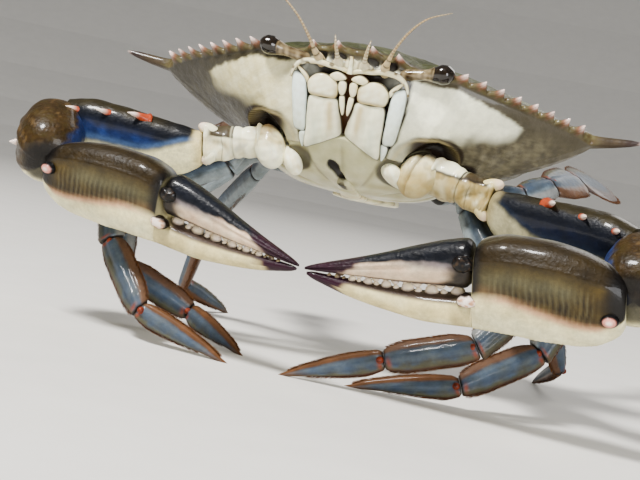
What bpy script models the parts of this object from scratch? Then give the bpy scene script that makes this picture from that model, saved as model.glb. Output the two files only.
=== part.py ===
"""Life-size male blue crab, standing on its walking legs with both claws folded below the mouth.

Lengths are millimetres and are multiplied by MM when a mesh is made.
The body frame has +X to the crab's left, -Y to its front and +Z up through the shell.
An empty named stance tilts that frame nose-up, lifts it to its standing height and sets it
sideways and back so that the origin is on the floor under the middle of the whole animal.
"""

import math

import bmesh
import bpy
from mathutils import Matrix, Vector

MM = 0.001
GAP = 0.3
SOCKET_GROW = 0.45

# Driving sizes of the whole animal.
SHELL_WIDTH = 150.0
NOSE_UP_DEG = 15.0
STANDING_HEIGHT = 74.0
SHELL_PLACE_X = -2.3
SHELL_PLACE_Y = -9.0

# Shell outline seen from above, right or left half.
FRONT_Y = -30.0
REAR_Y = 31.0
REAR_HALF = 23.0
MARGIN_START = Vector((27.5, -26.0))
MARGIN_END = Vector((61.0, -1.6))
MARGIN_BOW = 1.6
SIDE_TEETH = 8
TOOTH_LENGTH = 3.9
TOOTH_LIFT = 1.3
SPINE_TIP = Vector((SHELL_WIDTH / 2, -2.0))
SPINE_BACK = Vector((59.5, 3.4))
DOME_HEIGHT = 13.5
EDGE_HALF = 0.9
FLANK_FALL = 0.43
FLANK_TURN_Y = -2.0
FLANK_TURN = 12.0

# Plate under the body.
PLATE_HALF_X = 28.0
PLATE_HALF_Y = 21.0
PLATE_CENTRE_Y = 2.0
PLATE_ROOF_Z = -12.5
PLATE_KEEL_Z = -25.5

# Roots of the limbs in the body frame, left side: centre and, for the legs, ball radius.
CLAW_HIP = Vector((22.0, -13.5, -19.5))
LEG_HIPS = (
    (Vector((30.0, -5.0, -18.5)), 3.7),
    (Vector((31.0, 3.6, -18.0)), 3.7),
    (Vector((28.5, 11.8, -17.0)), 3.5),
)
SWIM_HIP = (Vector((21.5, 19.5, -15.0)), 4.2)

# Joints of the claw arms in the body frame, as (end of base, end of arm, wrist, tips).
LEFT_CLAW = (
    Vector((42.0, -14.0, -24.0)),
    Vector((79.0, -27.5, -36.0)),
    Vector((78.0, -42.0, -48.5)),
    Vector((3.4, -36.0, -55.8)),
)
RIGHT_CLAW = (
    Vector((-39.0, -15.0, -24.0)),
    Vector((-77.5, -17.0, -28.0)),
    Vector((-72.0, -28.0, -41.0)),
    Vector((1.7, -36.4, -55.6)),
)
CLAW_FORWARD_TILT_DEG = 32.0
LEFT_GIRTH = 1.0
RIGHT_GIRTH = 0.9

# Segment lengths of the walking legs: base, merus, carpus, propodus, dactyl.
LEG_LENGTHS = (
    (8.5, 33.0, 14.0, 23.5, 27.0),
    (8.5, 34.0, 14.0, 24.0, 28.0),
    (8.5, 29.0, 12.5, 21.0, 25.0),
)
# Segment directions in the standing frame, as (heading, elevation) in degrees.
# Heading 0 points straight out to the side, 90 backwards and 180 to the midline.
# The last segment has a heading only: its slope is what brings its tip to the floor.
LEFT_LEGS = (
    ((-34, -50), (-35, -44), (-143, -47), (-174, -20), -178),
    ((0, -45), (-11, -36), (-125, -60), (-142, -28), -174),
    ((48, -34), (50, -30), (49, -45), (55, -57), 112),
)
RIGHT_LEGS = (
    ((-34, -50), (-15, -28), (-127, -56), (-150, -41), -176),
    ((0, -45), (-6, -36), (-130, -74), (164, -24), -143),
    ((48, -34), (50, -30), (49, -45), (55, -57), 112),
)
SWIM_LENGTHS = (9.0, 18.0, 11.0, 15.0, 25.0)
SWIM_POSE = ((45, -5), (35, 12), (50, 24), (64, 14), (72, 0))

COLOURS = {
    "shell": (0.20, 0.21, 0.10, 0.35),
    "belly": (0.85, 0.83, 0.70, 0.3),
    "claw": (0.36, 0.34, 0.18, 0.3),
    "finger": (0.12, 0.12, 0.22, 0.3),
    "arm": (0.08, 0.14, 0.26, 0.3),
    "leg": (0.24, 0.36, 0.46, 0.3),
    "eye": (0.03, 0.02, 0.02, 0.1),
}


def material(name):
    """A Principled material with the named colour, made once."""
    found = bpy.data.materials.get(name)
    if found:
        return found
    made = bpy.data.materials.new(name)
    made.use_nodes = True
    surface = made.node_tree.nodes["Principled BSDF"]
    red, green, blue, roughness = COLOURS[name]
    surface.inputs["Base Color"].default_value = (red, green, blue, 1.0)
    surface.inputs["Roughness"].default_value = roughness
    surface.inputs["Metallic"].default_value = 0.0
    return made


def stance_matrix():
    """From the body frame to the standing frame, in millimetres, with the floor at z = 0."""
    lift = Matrix.Translation((SHELL_PLACE_X, SHELL_PLACE_Y, STANDING_HEIGHT))
    return lift @ Matrix.Rotation(math.radians(-NOSE_UP_DEG), 4, "X")


STANCE = stance_matrix()
TO_BODY = STANCE.inverted()


def make_stance_empty():
    empty = bpy.data.objects.new("stance", None)
    bpy.context.scene.collection.objects.link(empty)
    empty.rotation_euler.x = math.radians(-NOSE_UP_DEG)
    empty.location = STANCE.translation * MM
    return empty


def mesh_object(name, rings, colour, parent):
    """A closed mesh through rings of points. A ring of one point is a tip.

    A first or last ring with more points is closed by one flat face.
    """
    mesh = bpy.data.meshes.new(name)
    bm = bmesh.new()
    rows = [[bm.verts.new(point * MM) for point in ring] for ring in rings]
    for low, high in zip(rows, rows[1:]):
        bridge(bm, low, high)
    for row in (rows[0], rows[-1]):
        if len(row) > 2:
            bm.faces.new(row)
    bmesh.ops.recalc_face_normals(bm, faces=bm.faces)
    bm.to_mesh(mesh)
    bm.free()
    mesh.shade_smooth()
    mesh.set_sharp_from_angle(angle=math.radians(40.0))
    if colour:
        mesh.materials.append(material(colour))
    obj = bpy.data.objects.new(name, mesh)
    bpy.context.scene.collection.objects.link(obj)
    obj.parent = parent
    return obj


def bridge(bm, low, high):
    """Faces between two rings of the same length, or between a ring and a tip."""
    count = max(len(low), len(high))
    for i in range(count):
        j = (i + 1) % count
        if len(low) == 1:
            bm.faces.new((low[0], high[j], high[i]))
        elif len(high) == 1:
            bm.faces.new((low[i], low[j], high[0]))
        else:
            bm.faces.new((low[i], low[j], high[j], high[i]))


def boolean(target, others, operation):
    """Joins or cuts target with a collection of closed meshes, applies it and removes them."""
    group = bpy.data.collections.new(target.name + "_tools")
    for other in others:
        group.objects.link(other)
    bpy.context.view_layer.update()
    step = target.modifiers.new(operation.lower(), "BOOLEAN")
    step.operation = operation
    step.operand_type = "COLLECTION"
    step.collection = group
    step.solver = "EXACT"
    graph = bpy.context.evaluated_depsgraph_get()
    made = bpy.data.meshes.new_from_object(target.evaluated_get(graph))
    target.modifiers.clear()
    target.data = made
    for other in others:
        bpy.data.objects.remove(other)
    bpy.data.collections.remove(group)
    keep_largest(target)
    return target


def keep_largest(obj):
    """Keeps only the closed surface with the largest extent."""
    bm = bmesh.new()
    bm.from_mesh(obj.data)
    seen = set()
    islands = []
    for first in bm.faces:
        if first in seen:
            continue
        island = []
        stack = [first]
        seen.add(first)
        while stack:
            face = stack.pop()
            island.append(face)
            for edge in face.edges:
                for other in edge.link_faces:
                    if other not in seen:
                        seen.add(other)
                        stack.append(other)
        islands.append(island)
    islands.sort(key=extent)
    for island in islands[:-1]:
        bmesh.ops.delete(bm, geom=island, context="FACES")
    bm.to_mesh(obj.data)
    bm.free()


def extent(faces):
    """Diagonal of the box round some faces."""
    points = [vert.co for face in faces for vert in face.verts]
    low = Vector(min(point[i] for point in points) for i in range(3))
    high = Vector(max(point[i] for point in points) for i in range(3))
    return (high - low).length


def lerp(a, b, share):
    return a + (b - a) * share


def oval(count, power=1.0):
    """Unit cross-section as (height, width) pairs. Power under 1 squares it, over 1 sharpens it."""
    points = []
    for i in range(count):
        turn = math.tau * i / count
        height, width = math.cos(turn), math.sin(turn)
        points.append(
            (
                math.copysign(abs(height) ** power, height),
                math.copysign(abs(width) ** power, width),
            )
        )
    return points


def three_sided(count, bulge, crest_deg):
    """Rounded triangle whose first crest lies crest_deg from the height axis towards the face."""
    points = []
    for i in range(count):
        turn = math.tau * i / count
        reach = 1.0 + bulge * math.cos(3 * (turn - math.radians(crest_deg)))
        points.append((reach * math.cos(turn), reach * math.sin(turn)))
    return points


class Limb:
    """Axes of one limb segment: along it, up its height, and out of its face."""

    def __init__(self, start, end, face, side):
        self.start = start
        self.end = end
        self.along = (end - start).normalized()
        self.face = (face - face.project(self.along)).normalized()
        self.up = self.face.cross(self.along) * side

    def point(self, share, height, width):
        """The point at a share of the length, out by height and width."""
        base = self.start.lerp(self.end, share)
        return base + self.up * height + self.face * width


def slide(point, along, plane_point, normal):
    """Moves point along a direction until it meets a plane."""
    return point + along * ((plane_point - point).dot(normal) / along.dot(normal))


def loft(name, limb, stations, section, colour, parent, before=None, after=None):
    """A segment through stations of (share, half height, half width, rise).

    before and after are planes, as (point, normal), that the end rings are slid onto.
    """
    start_plane = before or (limb.start, limb.along)
    end_plane = after or (limb.end, limb.along)
    first, last = stations[0][0], stations[-1][0]
    rings = []
    for share, half_height, half_width, rise in stations:
        ring = []
        for height, width in section:
            point = limb.point(share, rise + height * half_height, width * half_width)
            low = slide(point, limb.along, *start_plane)
            high = slide(point, limb.along, *end_plane)
            if before or after:
                at = (share - first) / (last - first)
                point = low.lerp(high, at)
            ring.append(point)
        rings.append(ring)
    return mesh_object(name, rings, colour, parent)


def cone(base, tip, radius, sides=5, root=0.0):
    """Rings of a spine or tooth whose foot is sunk by root along its own axis."""
    axis = (tip - base).normalized()
    across = axis.orthogonal().normalized()
    other = axis.cross(across)
    foot = base - axis * root
    ring = [
        foot
        + across * radius * math.cos(math.tau * i / sides)
        + other * radius * math.sin(math.tau * i / sides)
        for i in range(sides)
    ]
    return [ring, [tip]]


def joint_plane(before, after, point, back):
    """The plane that halves a bend, moved back along the limb by a share of the gap."""
    normal = (before + after).normalized()
    return (point + normal * back, normal)


def body_half_outline():
    """Left half of the shell margin as (inner point, tip point, height), from front to rear."""
    points = [
        (Vector((0.0, -29.6)), None),
        (Vector((2.6, -30.4)), None),
        (Vector((5.0, -30.6)), Vector((4.6, -33.4))),
        (Vector((7.4, -30.0)), None),
        (Vector((9.6, -29.8)), None),
        (Vector((11.4, -29.4)), Vector((11.6, -32.2))),
        (Vector((14.5, -27.2)), None),
        (Vector((19.0, -25.4)), None),
        (Vector((23.5, -25.4)), None),
    ]
    run = MARGIN_END - MARGIN_START
    bow = Vector((-run.y, run.x)).normalized() * -MARGIN_BOW
    for i in range(SIDE_TEETH):
        share = i / SIDE_TEETH
        base = MARGIN_START + run * share + bow * 4 * share * (1 - share)
        tip = base + Vector((0.62, -0.78)) * TOOTH_LENGTH
        points.append((base, tip))
        share += 0.5 / SIDE_TEETH
        notch = MARGIN_START + run * share + bow * 4 * share * (1 - share)
        points.append((notch, None))
    points.append((MARGIN_END, None))
    points.append((Vector((61.4, 0.8)), SPINE_TIP))
    points.append((SPINE_BACK, None))
    for share in (0.2, 0.4, 0.6, 0.8, 1.0):
        corner = SPINE_BACK.lerp(Vector((REAR_HALF, REAR_Y - 1.5)), share)
        hollow = Vector((0.5, 0.86)) * 1.8 * math.sin(math.pi * share)
        points.append((corner - hollow, None))
    for share in (0.35, 0.7, 1.0):
        rear = Vector((REAR_HALF - 1.5, REAR_Y)).lerp(Vector((0.0, REAR_Y + 0.8)), share)
        points.append((rear, None))
    return points


def full_outline():
    """The whole margin, anticlockwise from the nose by way of the left side."""
    left = body_half_outline()
    right = [
        (mirror_2d(base), mirror_2d(tip) if tip else None)
        for base, tip in reversed(left[1:-1])
    ]
    return left + right


def mirror_2d(point):
    return Vector((-point.x, point.y))


def mirror(point):
    return Vector((-point.x, point.y, point.z))


def rim_height(point):
    """Height of the shell's edge: higher at the front, level at the side spines."""
    forward = max(0.0, -point.y / -FRONT_Y)
    inward = 1.0 - min(1.0, abs(point.x) / 60.0)
    return 1.2 + 2.6 * forward * forward * inward


def dome(point, reach):
    """Height of the shell's back above a margin point, by its share of the way out."""
    rise = (1.0 - reach**2.2) ** 0.9
    flank = 1.0 - 0.12 * min(1.0, abs(point.x) / 60.0)
    return lerp(rim_height(point), DOME_HEIGHT * flank, rise)


def plate_outline(direction, shrink=0.0):
    """Point of the belly plate's superellipse in a direction from its centre."""
    power = 2.4
    a, b = PLATE_HALF_X - shrink, PLATE_HALF_Y - shrink
    turn = math.atan2(direction.y, direction.x)
    reach = (abs(math.cos(turn) / a) ** power + abs(math.sin(turn) / b) ** power) ** (-1 / power)
    return Vector((math.cos(turn) * reach, PLATE_CENTRE_Y + math.sin(turn) * reach))


def plate_edge_z(point):
    """Height of the edge where belly plate and shell meet: lowest in front."""
    along = (point.y - PLATE_CENTRE_Y) / PLATE_HALF_Y
    return -17.5 - 2.0 * max(0.0, -along) + 3.0 * max(0.0, along)


def build_shell(parent):
    """Back, side teeth and flanks in one closed shell with a shallow bed for the belly plate."""
    outline = full_outline()
    centre = Vector((0.0, 0.0))
    top_shares = (0.3, 0.55, 0.75, 0.9, 1.0)
    rings = [[Vector((0.0, 0.0, DOME_HEIGHT))]]
    for share in top_shares:
        ring = []
        for base, _ in outline:
            flat = centre.lerp(base, share)
            height = dome(base, share) + (EDGE_HALF if share == 1.0 else 0.0)
            ring.append(Vector((flat.x, flat.y, height)))
        rings.append(ring)
    rim = []
    for base, tip in outline:
        edge = tip or base * 1.008
        lift = TOOTH_LIFT if tip else 0.0
        rim.append(Vector((edge.x, edge.y, rim_height(base) + lift)))
    rings.append(rim)
    for share in (0.0, 0.1, 0.3, 0.55, 0.8, 1.0):
        ring = []
        for base, _ in outline:
            ring.append(flank_point(base, share))
        rings.append(ring)
    bed = []
    for base, _ in outline:
        edge = plate_outline(base - Vector((0.0, PLATE_CENTRE_Y)), 0.5)
        bed.append(Vector((edge.x, edge.y, PLATE_ROOF_Z)))
    rings.append(bed)
    return mesh_object("carapace", rings, "shell", parent)


def flank_point(base, share):
    """Point of the underside between the margin and the belly plate's edge.

    In front of the side spines it slopes straight in, and behind them it falls steeply from the
    margin and then runs in.
    """
    edge = plate_outline(base - Vector((0.0, PLATE_CENTRE_Y)))
    turn = math.atan2(base.y, base.x)
    end_on = abs(math.sin(turn)) ** 1.5
    fullness = 1.0 + (0.9 if base.y < 0 else 1.2) * end_on
    flat = base.lerp(edge, share**fullness)
    behind = min(1.0, max(0.0, (base.y - FLANK_TURN_Y) / FLANK_TURN))
    fall = share ** lerp(0.95, FLANK_FALL, behind)
    low = lerp(rim_height(base) - EDGE_HALF, plate_edge_z(edge), fall)
    return Vector((flat.x, flat.y, low))


def build_plate(parent):
    """Breast plate between the legs, with a shallow keel to its front."""
    count = 36
    rings = []
    roof, edge, skirt, slope, keel = [], [], [], [], []
    for i in range(count):
        turn = math.tau * i / count
        direction = Vector((math.cos(turn), math.sin(turn)))
        inner = plate_outline(direction, 0.5 + GAP + 0.15)
        outer = plate_outline(direction, GAP + 0.1)
        roof.append(Vector((inner.x, inner.y, PLATE_ROOF_Z - GAP)))
        edge.append(Vector((outer.x, outer.y, plate_edge_z(outer) - 0.1)))
        for ring, share, drop in ((skirt, 0.86, 0.5), (slope, 0.6, 0.84), (keel, 0.3, 0.97)):
            flat = Vector((0.0, PLATE_CENTRE_Y)).lerp(outer, share)
            front = 1.0 - 0.12 * max(0.0, flat.y) / PLATE_HALF_Y
            ring.append(Vector((flat.x, flat.y, lerp(plate_edge_z(outer), PLATE_KEEL_Z * front, drop))))
    rings = [roof, edge, skirt, slope, keel, [Vector((0.0, PLATE_CENTRE_Y, PLATE_KEEL_Z * 0.985))]]
    return mesh_object("sternum", rings, "belly", parent)


def abdomen_rings(grow):
    """The male's narrow tail flap, folded forward under the body, seven plates long."""
    stations = (
        (24.5, 9.0),
        (21.0, 10.0),
        (17.5, 9.0),
        (14.0, 5.0),
        (9.0, 3.3),
        (2.0, 2.9),
        (-5.0, 2.6),
        (-9.0, 1.6),
    )
    rings = []
    for y, half in stations:
        edge_z = PLATE_KEEL_Z - 0.7 + 0.24 * max(0.0, y - 4.0)
        ring = [
            Vector((-half - grow, y, edge_z + 0.6)),
            Vector((-half * 0.55, y, edge_z - 0.5 - grow)),
            Vector((half * 0.55, y, edge_z - 0.5 - grow)),
            Vector((half + grow, y, edge_z + 0.6)),
            Vector((half + grow, y, edge_z + 2.0 + grow)),
            Vector((-half - grow, y, edge_z + 2.0 + grow)),
        ]
        rings.append(ring)
    rings[0] = [p + Vector((0.0, grow, 0.0)) for p in rings[0]]
    rings[-1] = [p - Vector((0.0, grow, 0.0)) for p in rings[-1]]
    return rings


MOUTH_TOP = Vector((0.0, -30.6, -3.4))
MOUTH_FOOT = Vector((0.0, -20.6, -19.2))


def jaw_rings(side, grow):
    """One third maxilliped: a long flat plate beside its narrow outer branch, and the palp."""
    down = (MOUTH_FOOT - MOUTH_TOP).normalized()
    out = Vector((0.0, down.z, -down.y)).normalized()
    if out.y > 0:
        out = -out
    rings = []
    stations = (
        (-0.04, 2.6, 10.6),
        (0.12, 1.4, 13.2),
        (0.5, 0.8, 12.8),
        (0.85, 0.7, 12.2),
        (1.0, 1.8, 10.8),
    )
    for share, inner, outer in stations:
        centre = MOUTH_TOP.lerp(MOUTH_FOOT, share)
        shift = down * (grow if share > 0.9 else -grow if share < 0 else 0.0)
        low_in = inner - grow
        high_out = outer + grow
        ring = []
        for across, thick in (
            (low_in, -3.0 - grow),
            (low_in, 0.2 + grow),
            (lerp(low_in, high_out, 0.3), 0.9 + grow),
            (lerp(low_in, high_out, 0.72), 0.5 + grow),
            (high_out, -0.4 + grow),
            (high_out, -3.0 - grow),
        ):
            point = centre + shift + out * thick
            ring.append(Vector((side * across, point.y, point.z)))
        rings.append(ring)
    return rings


def eye_rings(side, grow):
    """Short stalk and round cornea lying in the orbit."""
    root = Vector((12.0, -27.4, 0.6))
    tip = Vector((26.6, -29.4, 2.6))
    limb = Limb(root, tip, Vector((0.0, -1.0, 0.2)), 1)
    rings = []
    for share, radius in (
        (0.0, 1.0),
        (0.12, 1.5),
        (0.5, 1.5),
        (0.62, 1.9),
        (0.76, 2.5),
        (0.88, 2.4),
        (0.96, 1.5),
        (1.0, 0.6),
    ):
        reach = share + (grow if share == 1.0 else -grow if share == 0.0 else 0.0) / (tip - root).length
        ring = []
        for height, width in oval(8):
            point = limb.point(reach, height * (radius + grow), width * (radius + grow))
            ring.append(Vector((side * point.x, point.y, point.z)))
        rings.append(ring)
    return rings


def antenna_rings(side, grow):
    """Long feeler rising from beside the inner corner of the orbit."""
    knots = (
        (Vector((8.6, -28.8, -0.2)), 1.2),
        (Vector((8.8, -31.2, 0.0)), 1.2),
        (Vector((9.6, -33.6, 0.7)), 0.9),
        (Vector((11.0, -36.4, 2.8)), 0.6),
        (Vector((14.5, -40.5, 7.0)), 0.45),
        (Vector((19.5, -44.0, 10.5)), 0.35),
        (Vector((25.5, -46.0, 12.2)), 0.28),
    )
    rings = []
    for i, (centre, radius) in enumerate(knots):
        ahead = knots[min(i + 1, len(knots) - 1)][0] - knots[max(i - 1, 0)][0]
        limb = Limb(centre, centre + ahead, Vector((0.0, 0.0, 1.0)), 1)
        ring = []
        for height, width in oval(6):
            point = limb.point(0.0, height * (radius + grow), width * (radius + grow))
            ring.append(Vector((side * point.x, point.y, point.z)))
        rings.append(ring)
    if grow:
        rings[0] = [p + Vector((0.0, grow, 0.0)) for p in rings[0]]
    return rings


def antennule_rings(side):
    """Small folded feeler beside the nose."""
    knots = (
        (Vector((3.4, -30.0, -0.4)), 1.3),
        (Vector((3.5, -31.2, -0.2)), 1.3),
        (Vector((3.7, -33.4, 0.6)), 0.9),
        (Vector((4.2, -35.4, 2.6)), 0.5),
        (Vector((4.8, -36.6, 5.2)), 0.3),
    )
    rings = []
    for i, (centre, radius) in enumerate(knots):
        ahead = knots[min(i + 1, len(knots) - 1)][0] - knots[max(i - 1, 0)][0]
        limb = Limb(centre, centre + ahead, Vector((1.0, 0.0, 0.0)), 1)
        ring = []
        for height, width in oval(6):
            point = limb.point(0.0, height * radius, width * radius)
            ring.append(Vector((side * point.x, point.y, point.z)))
        rings.append(ring)
    return rings


def brow_rings(grow):
    """The small plate between nose and mouth that carries both antennules."""
    rings = []
    for x, half in ((-5.6, 0.7), (-4.6, 1.2), (0.0, 1.4), (4.6, 1.2), (5.6, 0.7)):
        reach = x + math.copysign(grow, x) if abs(x) > 5.0 else x
        ring = [
            Vector((reach, -30.0 + width * (1.7 + grow), -0.2 + height * (half + grow)))
            for height, width in oval(8, 0.8)
        ]
        rings.append(ring)
    return rings


def hip_stations(length, radius, end_height, end_width):
    """Stations of a ball that narrows to a neck and widens to the next segment."""
    return (
        (-0.92 * radius / length, 0.38 * radius, 0.38 * radius, 0.0),
        (-0.6 * radius / length, 0.8 * radius, 0.8 * radius, 0.0),
        (0.0, radius, radius, 0.0),
        (0.55 * radius / length, 0.85 * radius, 0.85 * radius, 0.0),
        (0.95 * radius / length, 0.7 * radius, 0.7 * radius, 0.0),
        (1.0, end_height, end_width, 0.0),
    )


def build_hip(name, limb, stations, colour, parent, after, grow=0.0):
    """Base of a limb: its ball sits in the body and its far end meets the next segment."""
    section = oval(10)
    rings = []
    for share, half_height, half_width, rise in stations:
        ring = []
        for height, width in section:
            point = limb.point(
                share, rise + height * (half_height + grow), width * (half_width + grow)
            )
            if share == 1.0:
                point = slide(point, limb.along, *after)
            ring.append(point)
        rings.append(ring)
    if grow:
        rings[0] = [p - limb.along * grow for p in rings[0]]
    return mesh_object(name, rings, colour, parent)


# Arms and claws.

CLAW_BASE_STATIONS = (
    # share, half height, half width, rise: the bulb of the coxa, its neck and the ischium
    (-0.24, 2.4, 2.4, 0.0),
    (-0.12, 4.6, 4.6, 0.0),
    (0.05, 6.1, 5.9, 0.0),
    (0.2, 6.6, 6.2, 0.0),
    (0.33, 5.8, 5.4, 0.0),
    (0.41, 4.4, 4.2, 0.0),
    (0.52, 4.7, 4.4, 0.0),
    (0.8, 4.3, 4.1, 0.0),
    (1.0, 5.0, 4.6, 0.0),
)
ARM_STATIONS = (
    # share, half height, half width, rise
    (0.0, 4.2, 4.2, -1.0),
    (0.07, 5.4, 4.9, -1.5),
    (0.18, 6.8, 5.5, -1.7),
    (0.38, 7.4, 6.0, -0.8),
    (0.62, 7.9, 6.6, 0.5),
    (0.85, 8.2, 6.8, 1.5),
    (1.05, 7.0, 5.8, 1.9),
)
ARM_SPINES = (0.4, 0.63, 0.86)
WRIST_HALVES = (11.8, 10.2, 9.0)
WRIST_OUT = 4.4
WRIST_UP = 1.0
PALM_STATIONS = (
    # distance, low edge, high edge, half width, inward shift
    (-3.0, -7.0, 3.5, 3.4, 0.0),
    (0.5, -10.6, 6.8, 5.4, 0.4),
    (4.0, -12.2, 8.4, 6.3, 0.9),
    (9.0, -12.9, 10.0, 7.1, 1.6),
    (17.0, -13.0, 11.3, 7.6, 2.6),
    (26.0, -12.2, 11.6, 7.2, 3.2),
    (32.0, -11.8, 10.4, 6.0, 3.4),
    (34.3, -11.6, 9.2, 4.8, 3.4),
)
FIXED_FINGER = (
    # distance, centre, half height, half width, inward shift
    (28.0, -7.5, 4.1, 4.8, 3.3),
    (37.0, -7.9, 3.9, 4.5, 3.2),
    (46.0, -7.7, 3.7, 3.9, 2.8),
    (56.0, -6.4, 3.1, 3.2, 1.9),
    (66.0, -4.4, 2.3, 2.3, 0.9),
    (73.0, -2.6, 1.4, 1.4, 0.3),
    (77.6, -1.3, 0.5, 0.5, -0.1),
)
MOVING_FINGER = (
    (34.6, 3.9, 5.2, 4.4, 3.3),
    (37.0, 4.0, 6.0, 5.0, 3.3),
    (41.0, 3.8, 5.7, 4.6, 3.2),
    (50.0, 2.8, 4.6, 3.8, 2.5),
    (58.0, 1.9, 3.3, 3.0, 1.7),
    (66.0, 1.2, 2.1, 2.1, 0.9),
    (73.0, 0.6, 1.2, 1.3, 0.3),
    (78.2, 0.0, 0.45, 0.45, -0.1),
)
# Knobs of the finger joint on the outer face: distance, height, reach out of the face, radius.
PALM_KNOB = (35.6, -4.2, 0.3, 2.3)
FINGER_KNOB = (37.0, 5.2, 0.7, 2.4)
FINGER_TEETH = 8
CLAW_LENGTH = 78.2


class Claw:
    """Axes of a claw: along to the tips, up to the moving finger, out of its outer face."""

    def __init__(self, wrist, tips, girth, side):
        tilt = math.radians(CLAW_FORWARD_TILT_DEG)
        self.wrist = wrist
        self.girth = girth
        self.scale = (tips - wrist).length / CLAW_LENGTH
        self.along = (tips - wrist).normalized()
        up = Vector((0.0, -math.sin(tilt), math.cos(tilt)))
        self.up = (up - up.project(self.along)).normalized()
        self.out = self.up.cross(self.along) * side

    def point(self, distance, height, width):
        across = (self.up * height + self.out * width) * self.girth
        return self.wrist + self.along * distance * self.scale + across


def claw_rings(claw, stations, section, grow=0.0):
    """Rings from rows of (distance, centre height, half height, half width, inward shift)."""
    rings = []
    last = len(stations) - 1
    for i, (distance, centre, half_height, half_width, shift) in enumerate(stations):
        reach = distance + (grow if i == last else -grow if i == 0 else 0.0)
        ring = [
            claw.point(
                reach,
                centre + height * (half_height + grow),
                width * (half_width + grow) - shift,
            )
            for height, width in section
        ]
        rings.append(ring)
    return rings


def palm_rows():
    """The palm's edges turned into centre heights and half heights."""
    return [
        (distance, (low + high) / 2, (high - low) / 2, half, shift)
        for distance, low, high, half, shift in PALM_STATIONS
    ]


def finger_teeth(claw, finger, sign, first, last, tooth, parent):
    """Cones along the biting edge of a finger, large and small by turns."""
    teeth = []
    for i in range(FINGER_TEETH):
        share = (i + (0.25 if sign > 0 else 0.75)) / FINGER_TEETH
        distance = lerp(first, last, share)
        row = station_at(finger, distance)
        large = 1.0 if i % 3 == 1 else 0.7
        height = tooth * large * (1.0 - 0.5 * share)
        edge = row[1] + sign * row[2]
        base = claw.point(distance, edge, -row[4])
        tip = claw.point(distance, edge + sign * height, -row[4])
        rings = cone(base, tip, 1.25 - 0.55 * share, 5, 1.1)
        teeth.append(mesh_object("tooth", rings, None, parent))
    return teeth


def knob(claw, place, parent):
    """Round knob on the outer face of the finger joint."""
    distance, height, width, radius = place
    centre = claw.point(distance, height, width)
    rings = []
    for share in (-0.85, -0.4, 0.2, 0.7, 1.0):
        across = radius * math.sqrt(1.0 - share * share) if share < 1.0 else 0.0
        middle = centre + claw.out * share * radius
        if across == 0.0:
            rings.append([middle])
            continue
        ring = [
            middle + claw.up * across * up + claw.along * across * along
            for up, along in oval(8)
        ]
        rings.append(ring)
    return mesh_object("knob", rings, None, parent)


def station_at(stations, distance):
    """The row of a claw table worked out at a distance."""
    for low, high in zip(stations, stations[1:]):
        if low[0] <= distance <= high[0]:
            share = (distance - low[0]) / (high[0] - low[0])
            return tuple(lerp(a, b, share) for a, b in zip(low, high))
    return stations[-1]


def wrist_rings(limb, grow):
    """Blunt block between arm and claw."""
    length, height, width = WRIST_HALVES
    rings = []
    for share, size in ((-1.0, 0.3), (-0.8, 0.72), (-0.35, 0.98), (0.2, 1.0), (0.7, 0.8), (1.0, 0.34)):
        ring = []
        for up, out in oval(12, 0.86):
            centre = limb.start + limb.along * share * (length + grow)
            ring.append(
                centre
                + limb.up * up * (height * size + grow)
                + limb.face * out * (width * size + grow)
            )
        rings.append(ring)
    return rings


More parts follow.
